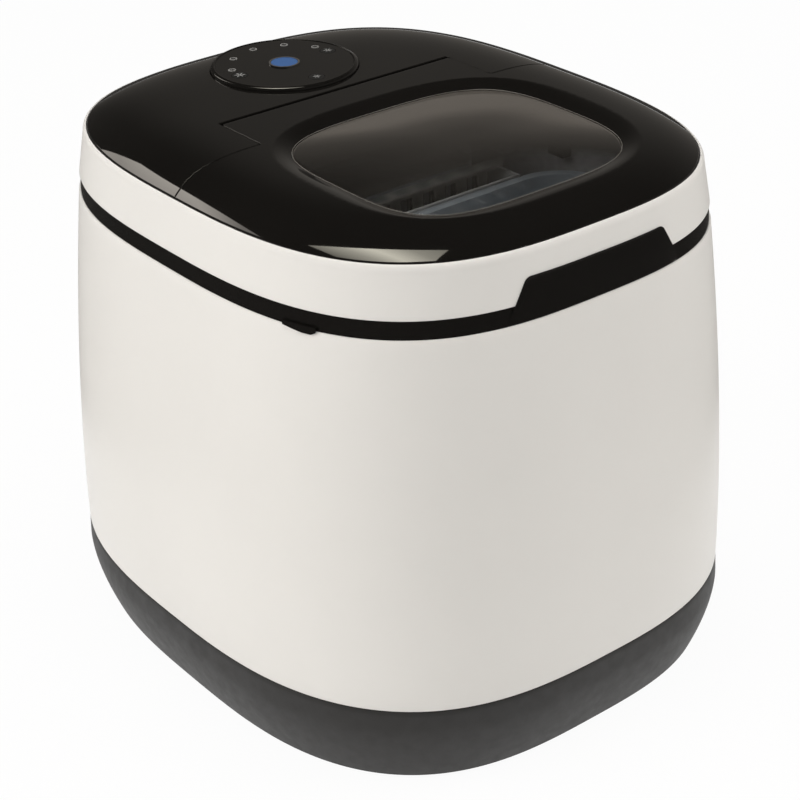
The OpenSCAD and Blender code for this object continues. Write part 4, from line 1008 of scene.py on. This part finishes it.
def background_factor(tree):
    """1 where the eye, a mirror or a pane looks straight at the surface."""
    path = tree.nodes.new("ShaderNodeLightPath")
    direct = math_node(tree, "MAXIMUM", path.outputs["Is Camera Ray"], path.outputs["Is Glossy Ray"])
    return math_node(tree, "MAXIMUM", direct, path.outputs["Is Transmission Ray"])


def mixed(tree, factor, lit, seen, output):
    """Sends the lit shader and the seen one, mixed by the factor, to the output."""
    mix = tree.nodes.new("ShaderNodeMixShader")
    out = tree.nodes.new(output)
    tree.links.new(factor, mix.inputs["Fac"])
    tree.links.new(lit.outputs[0], mix.inputs[1])
    tree.links.new(seen.outputs[0], mix.inputs[2])
    tree.links.new(mix.outputs[0], out.inputs["Surface"])


floor_mat, tree = bare_material("floor_white")
diffuse = tree.nodes.new("ShaderNodeBsdfDiffuse")
diffuse.inputs["Color"].default_value = (FLOOR_TONE, FLOOR_TONE, FLOOR_TONE, 1)
glow = tree.nodes.new("ShaderNodeEmission")
glow.inputs["Strength"].default_value = 1.0
share = math_node(tree, "MULTIPLY", background_factor(tree), FLOOR_GLOW)
mixed(tree, share, diffuse, glow, "ShaderNodeOutputMaterial")
floor_corners = [Vector((x * FLOOR_HALF, y * FLOOR_HALF, 0)) for x, y in ((-1, -1), (1, -1), (1, 1), (-1, 1))]
plain_object("floor", floor_corners, [(0, 1, 2, 3)], floor_mat)

world = bpy.data.worlds.new("studio")
bpy.context.scene.world = world
world.use_nodes = True
tree = world.node_tree
tree.nodes.clear()
soft = tree.nodes.new("ShaderNodeBackground")
soft.inputs["Color"].default_value = (*SKY_COLOUR, 1)
soft.inputs["Strength"].default_value = SKY_STRENGTH
seen = tree.nodes.new("ShaderNodeBackground")
seen.inputs["Color"].default_value = (1, 1, 1, 1)
seen.inputs["Strength"].default_value = 1.0
mixed(tree, background_factor(tree), soft, seen, "ShaderNodeOutputWorld")

TOP = Vector((0, 0, 0.35))                    # middle of the deck


def direction(azimuth, elevation):
    """Unit vector towards an azimuth and elevation."""
    a, e = math.radians(azimuth), math.radians(elevation)
    return Vector((math.sin(a) * math.cos(e), -math.cos(a) * math.cos(e), math.sin(e)))


def only_reflected(obj):
    """Leaves the object for reflections alone."""
    obj.visible_camera = False
    obj.visible_diffuse = False
    obj.visible_shadow = False
    obj.visible_transmission = False
    obj.visible_volume_scatter = False


def patch(name, corners, distance, material, flat=True, steps=24):
    """Panel or part of a sphere between four directions from the deck, that only reflections see."""
    (a, b), (c, d) = [[direction(*v) if flat else Vector(v) for v in pair] for pair in corners]
    verts, faces = [], []
    for i in range(steps + 1):
        for j in range(steps + 1):
            u, w = i / steps, j / steps
            spot = (a * (1 - w) + b * w) * (1 - u) + (c * (1 - w) + d * w) * u
            verts.append(TOP + (spot if flat else direction(*spot)) * distance)
    for i in range(steps):
        for j in range(steps):
            k = i * (steps + 1) + j
            faces.append((k, k + 1, k + steps + 2, k + steps + 1))
    only_reflected(plain_object(name, verts, faces, material))


def panel_material(name, rgb, axis, stops):
    """Light panel whose strength changes along one axis of its box."""
    mat = emission(name, rgb, 1)
    tree = mat.node_tree
    coord = tree.nodes.new("ShaderNodeTexCoord")
    split = tree.nodes.new("ShaderNodeSeparateXYZ")
    tree.links.new(coord.outputs["Generated"], split.inputs[0])
    shade = ramp(tree, split.outputs[axis], [(p, v / PANEL_GAIN) for p, v in stops])
    strength = math_node(tree, "MULTIPLY", shade, PANEL_GAIN)
    tree.links.new(strength, tree.nodes["Emission"].inputs["Strength"])
    return mat


def room_material():
    """Dim room: grey low down behind the deck, fading to dark upwards and towards the left."""
    mat, tree = bare_material("room")
    coord = tree.nodes.new("ShaderNodeTexCoord")
    away = tree.nodes.new("ShaderNodeVectorMath")
    away.operation = "SUBTRACT"
    away.inputs[1].default_value = TOP
    tree.links.new(coord.outputs["Object"], away.inputs[0])
    unit = tree.nodes.new("ShaderNodeVectorMath")
    unit.operation = "NORMALIZE"
    tree.links.new(away.outputs["Vector"], unit.inputs[0])
    split = tree.nodes.new("ShaderNodeSeparateXYZ")
    tree.links.new(unit.outputs["Vector"], split.inputs[0])
    height = tree.nodes.new("ShaderNodeMapRange")
    height.inputs["From Min"].default_value = -1
    tree.links.new(split.outputs["Z"], height.inputs["Value"])
    # elevation in degrees, strength
    rows = [(-4, 0.25), (3, 0.18), (10, 0.15), (19, 0.115), (27, 0.08), (34, 0.045), (42, 0.02)]
    stops = [(0.5 + 0.5 * math.sin(math.radians(e)), v) for e, v in rows]
    level_light = ramp(tree, height.outputs["Result"], stops)
    side = tree.nodes.new("ShaderNodeVectorMath")
    side.operation = "DOT_PRODUCT"
    side.inputs[1].default_value = direction(ROOM_SIDE, 0)
    tree.links.new(unit.outputs["Vector"], side.inputs[0])
    shade = tree.nodes.new("ShaderNodeMapRange")
    shade.interpolation_type = "SMOOTHSTEP"
    shade.inputs["From Min"].default_value = SIDE_FROM
    shade.inputs["From Max"].default_value = SIDE_TO
    shade.inputs["To Min"].default_value = ROOM_DARK
    tree.links.new(side.outputs["Value"], shade.inputs["Value"])
    glow = tree.nodes.new("ShaderNodeEmission")
    glow.inputs["Color"].default_value = (*WARM, 1)
    strength = math_node(tree, "MULTIPLY", level_light, shade.outputs["Result"])
    tree.links.new(strength, glow.inputs["Strength"])
    out = tree.nodes.new("ShaderNodeOutputMaterial")
    tree.links.new(glow.outputs[0], out.inputs["Surface"])
    return mat


# each card: directions of its four corners, as azimuth and elevation
patch("dark_room", (((0, -4), (0, 90)), ((360, -4), (360, 90))), ROOM_FAR, room_material(), False, 96)
left_light = [(0.0, 2.4), (0.4, 2.6), (0.66, 4.4), (0.85, 2.0)]
patch("strip_left", (((180, 18), (180, 34)), ((199, 22), (199, 50))), CARD_FAR,
      panel_material("strip_left", WARM, "Z", left_light))
front_light = [(0.0, 1.5), (0.3, 6), (0.5, 11), (0.75, 5), (1.0, 3)]
patch("strip_front", (((118, 68.5), (112, 77)), ((190, 58.5), (205, 72))), CARD_FAR,
      panel_material("strip_front", (1.0, 0.95, 0.80), "X", front_light))
# dark ring on the floor round the object, so that its lower walls reflect less of the white floor
MAT_Z, MAT_INNER, MAT_POINTS = 0.0006, 0.42, 96
mat_verts = [Vector((x, y, MAT_Z)) for r in (MAT_INNER, FLOOR_HALF) for x, y in oblong(r, r, 2, MAT_POINTS)]
only_reflected(plain_object("dark_mat", mat_verts, ring_faces(2, MAT_POINTS, False),
                            emission("mat", (1.0, 0.94, 0.88), 0.06)))


LAMP_AIM = Vector((0, 0, 0.2))


def area(name, azimuth, elevation, distance, size, power):
    """Square soft lamp aimed at the middle of the object, left out of reflections."""
    light = bpy.data.lights.new(name, "AREA")
    light.shape = "RECTANGLE"
    light.size = light.size_y = size
    light.energy = power
    light.color = (1, 0.98, 0.95)
    obj = linked(name, light)
    d = direction(azimuth, elevation)
    obj.location = LAMP_AIM + d * distance
    obj.rotation_mode = "QUATERNION"
    obj.rotation_quaternion = (-d).to_track_quat("-Z", "Y")
    obj.visible_glossy = False


area("key_left", -102, 36, 2.6, 1.8, 34)
area("key_right", 50, 30, 2.6, 1.8, 22)
area("top", 0, 88, 2.4, 1.6, 11)

# camera at the photograph's viewing angle
cam_data = bpy.data.cameras.new("camera")
cam = linked("camera", cam_data)
cam_data.sensor_width = 36
cam_data.lens = 91.127
cam_data.shift_x = 0.00856
cam_data.shift_y = -0.01361
cam_data.clip_end = 100
right = Vector((0.781881, -0.622973, -0.023812))
up = Vector((0.315172, 0.362035, 0.877267))
back = Vector((-0.537893, -0.693423, 0.479412))
place = Matrix((right, up, back)).transposed().to_4x4()
place.translation = Vector((-0.7150, -0.9230, 0.7937))
cam.matrix_world = place
bpy.context.scene.camera = cam

bpy.context.scene.view_settings.view_transform = "Standard"
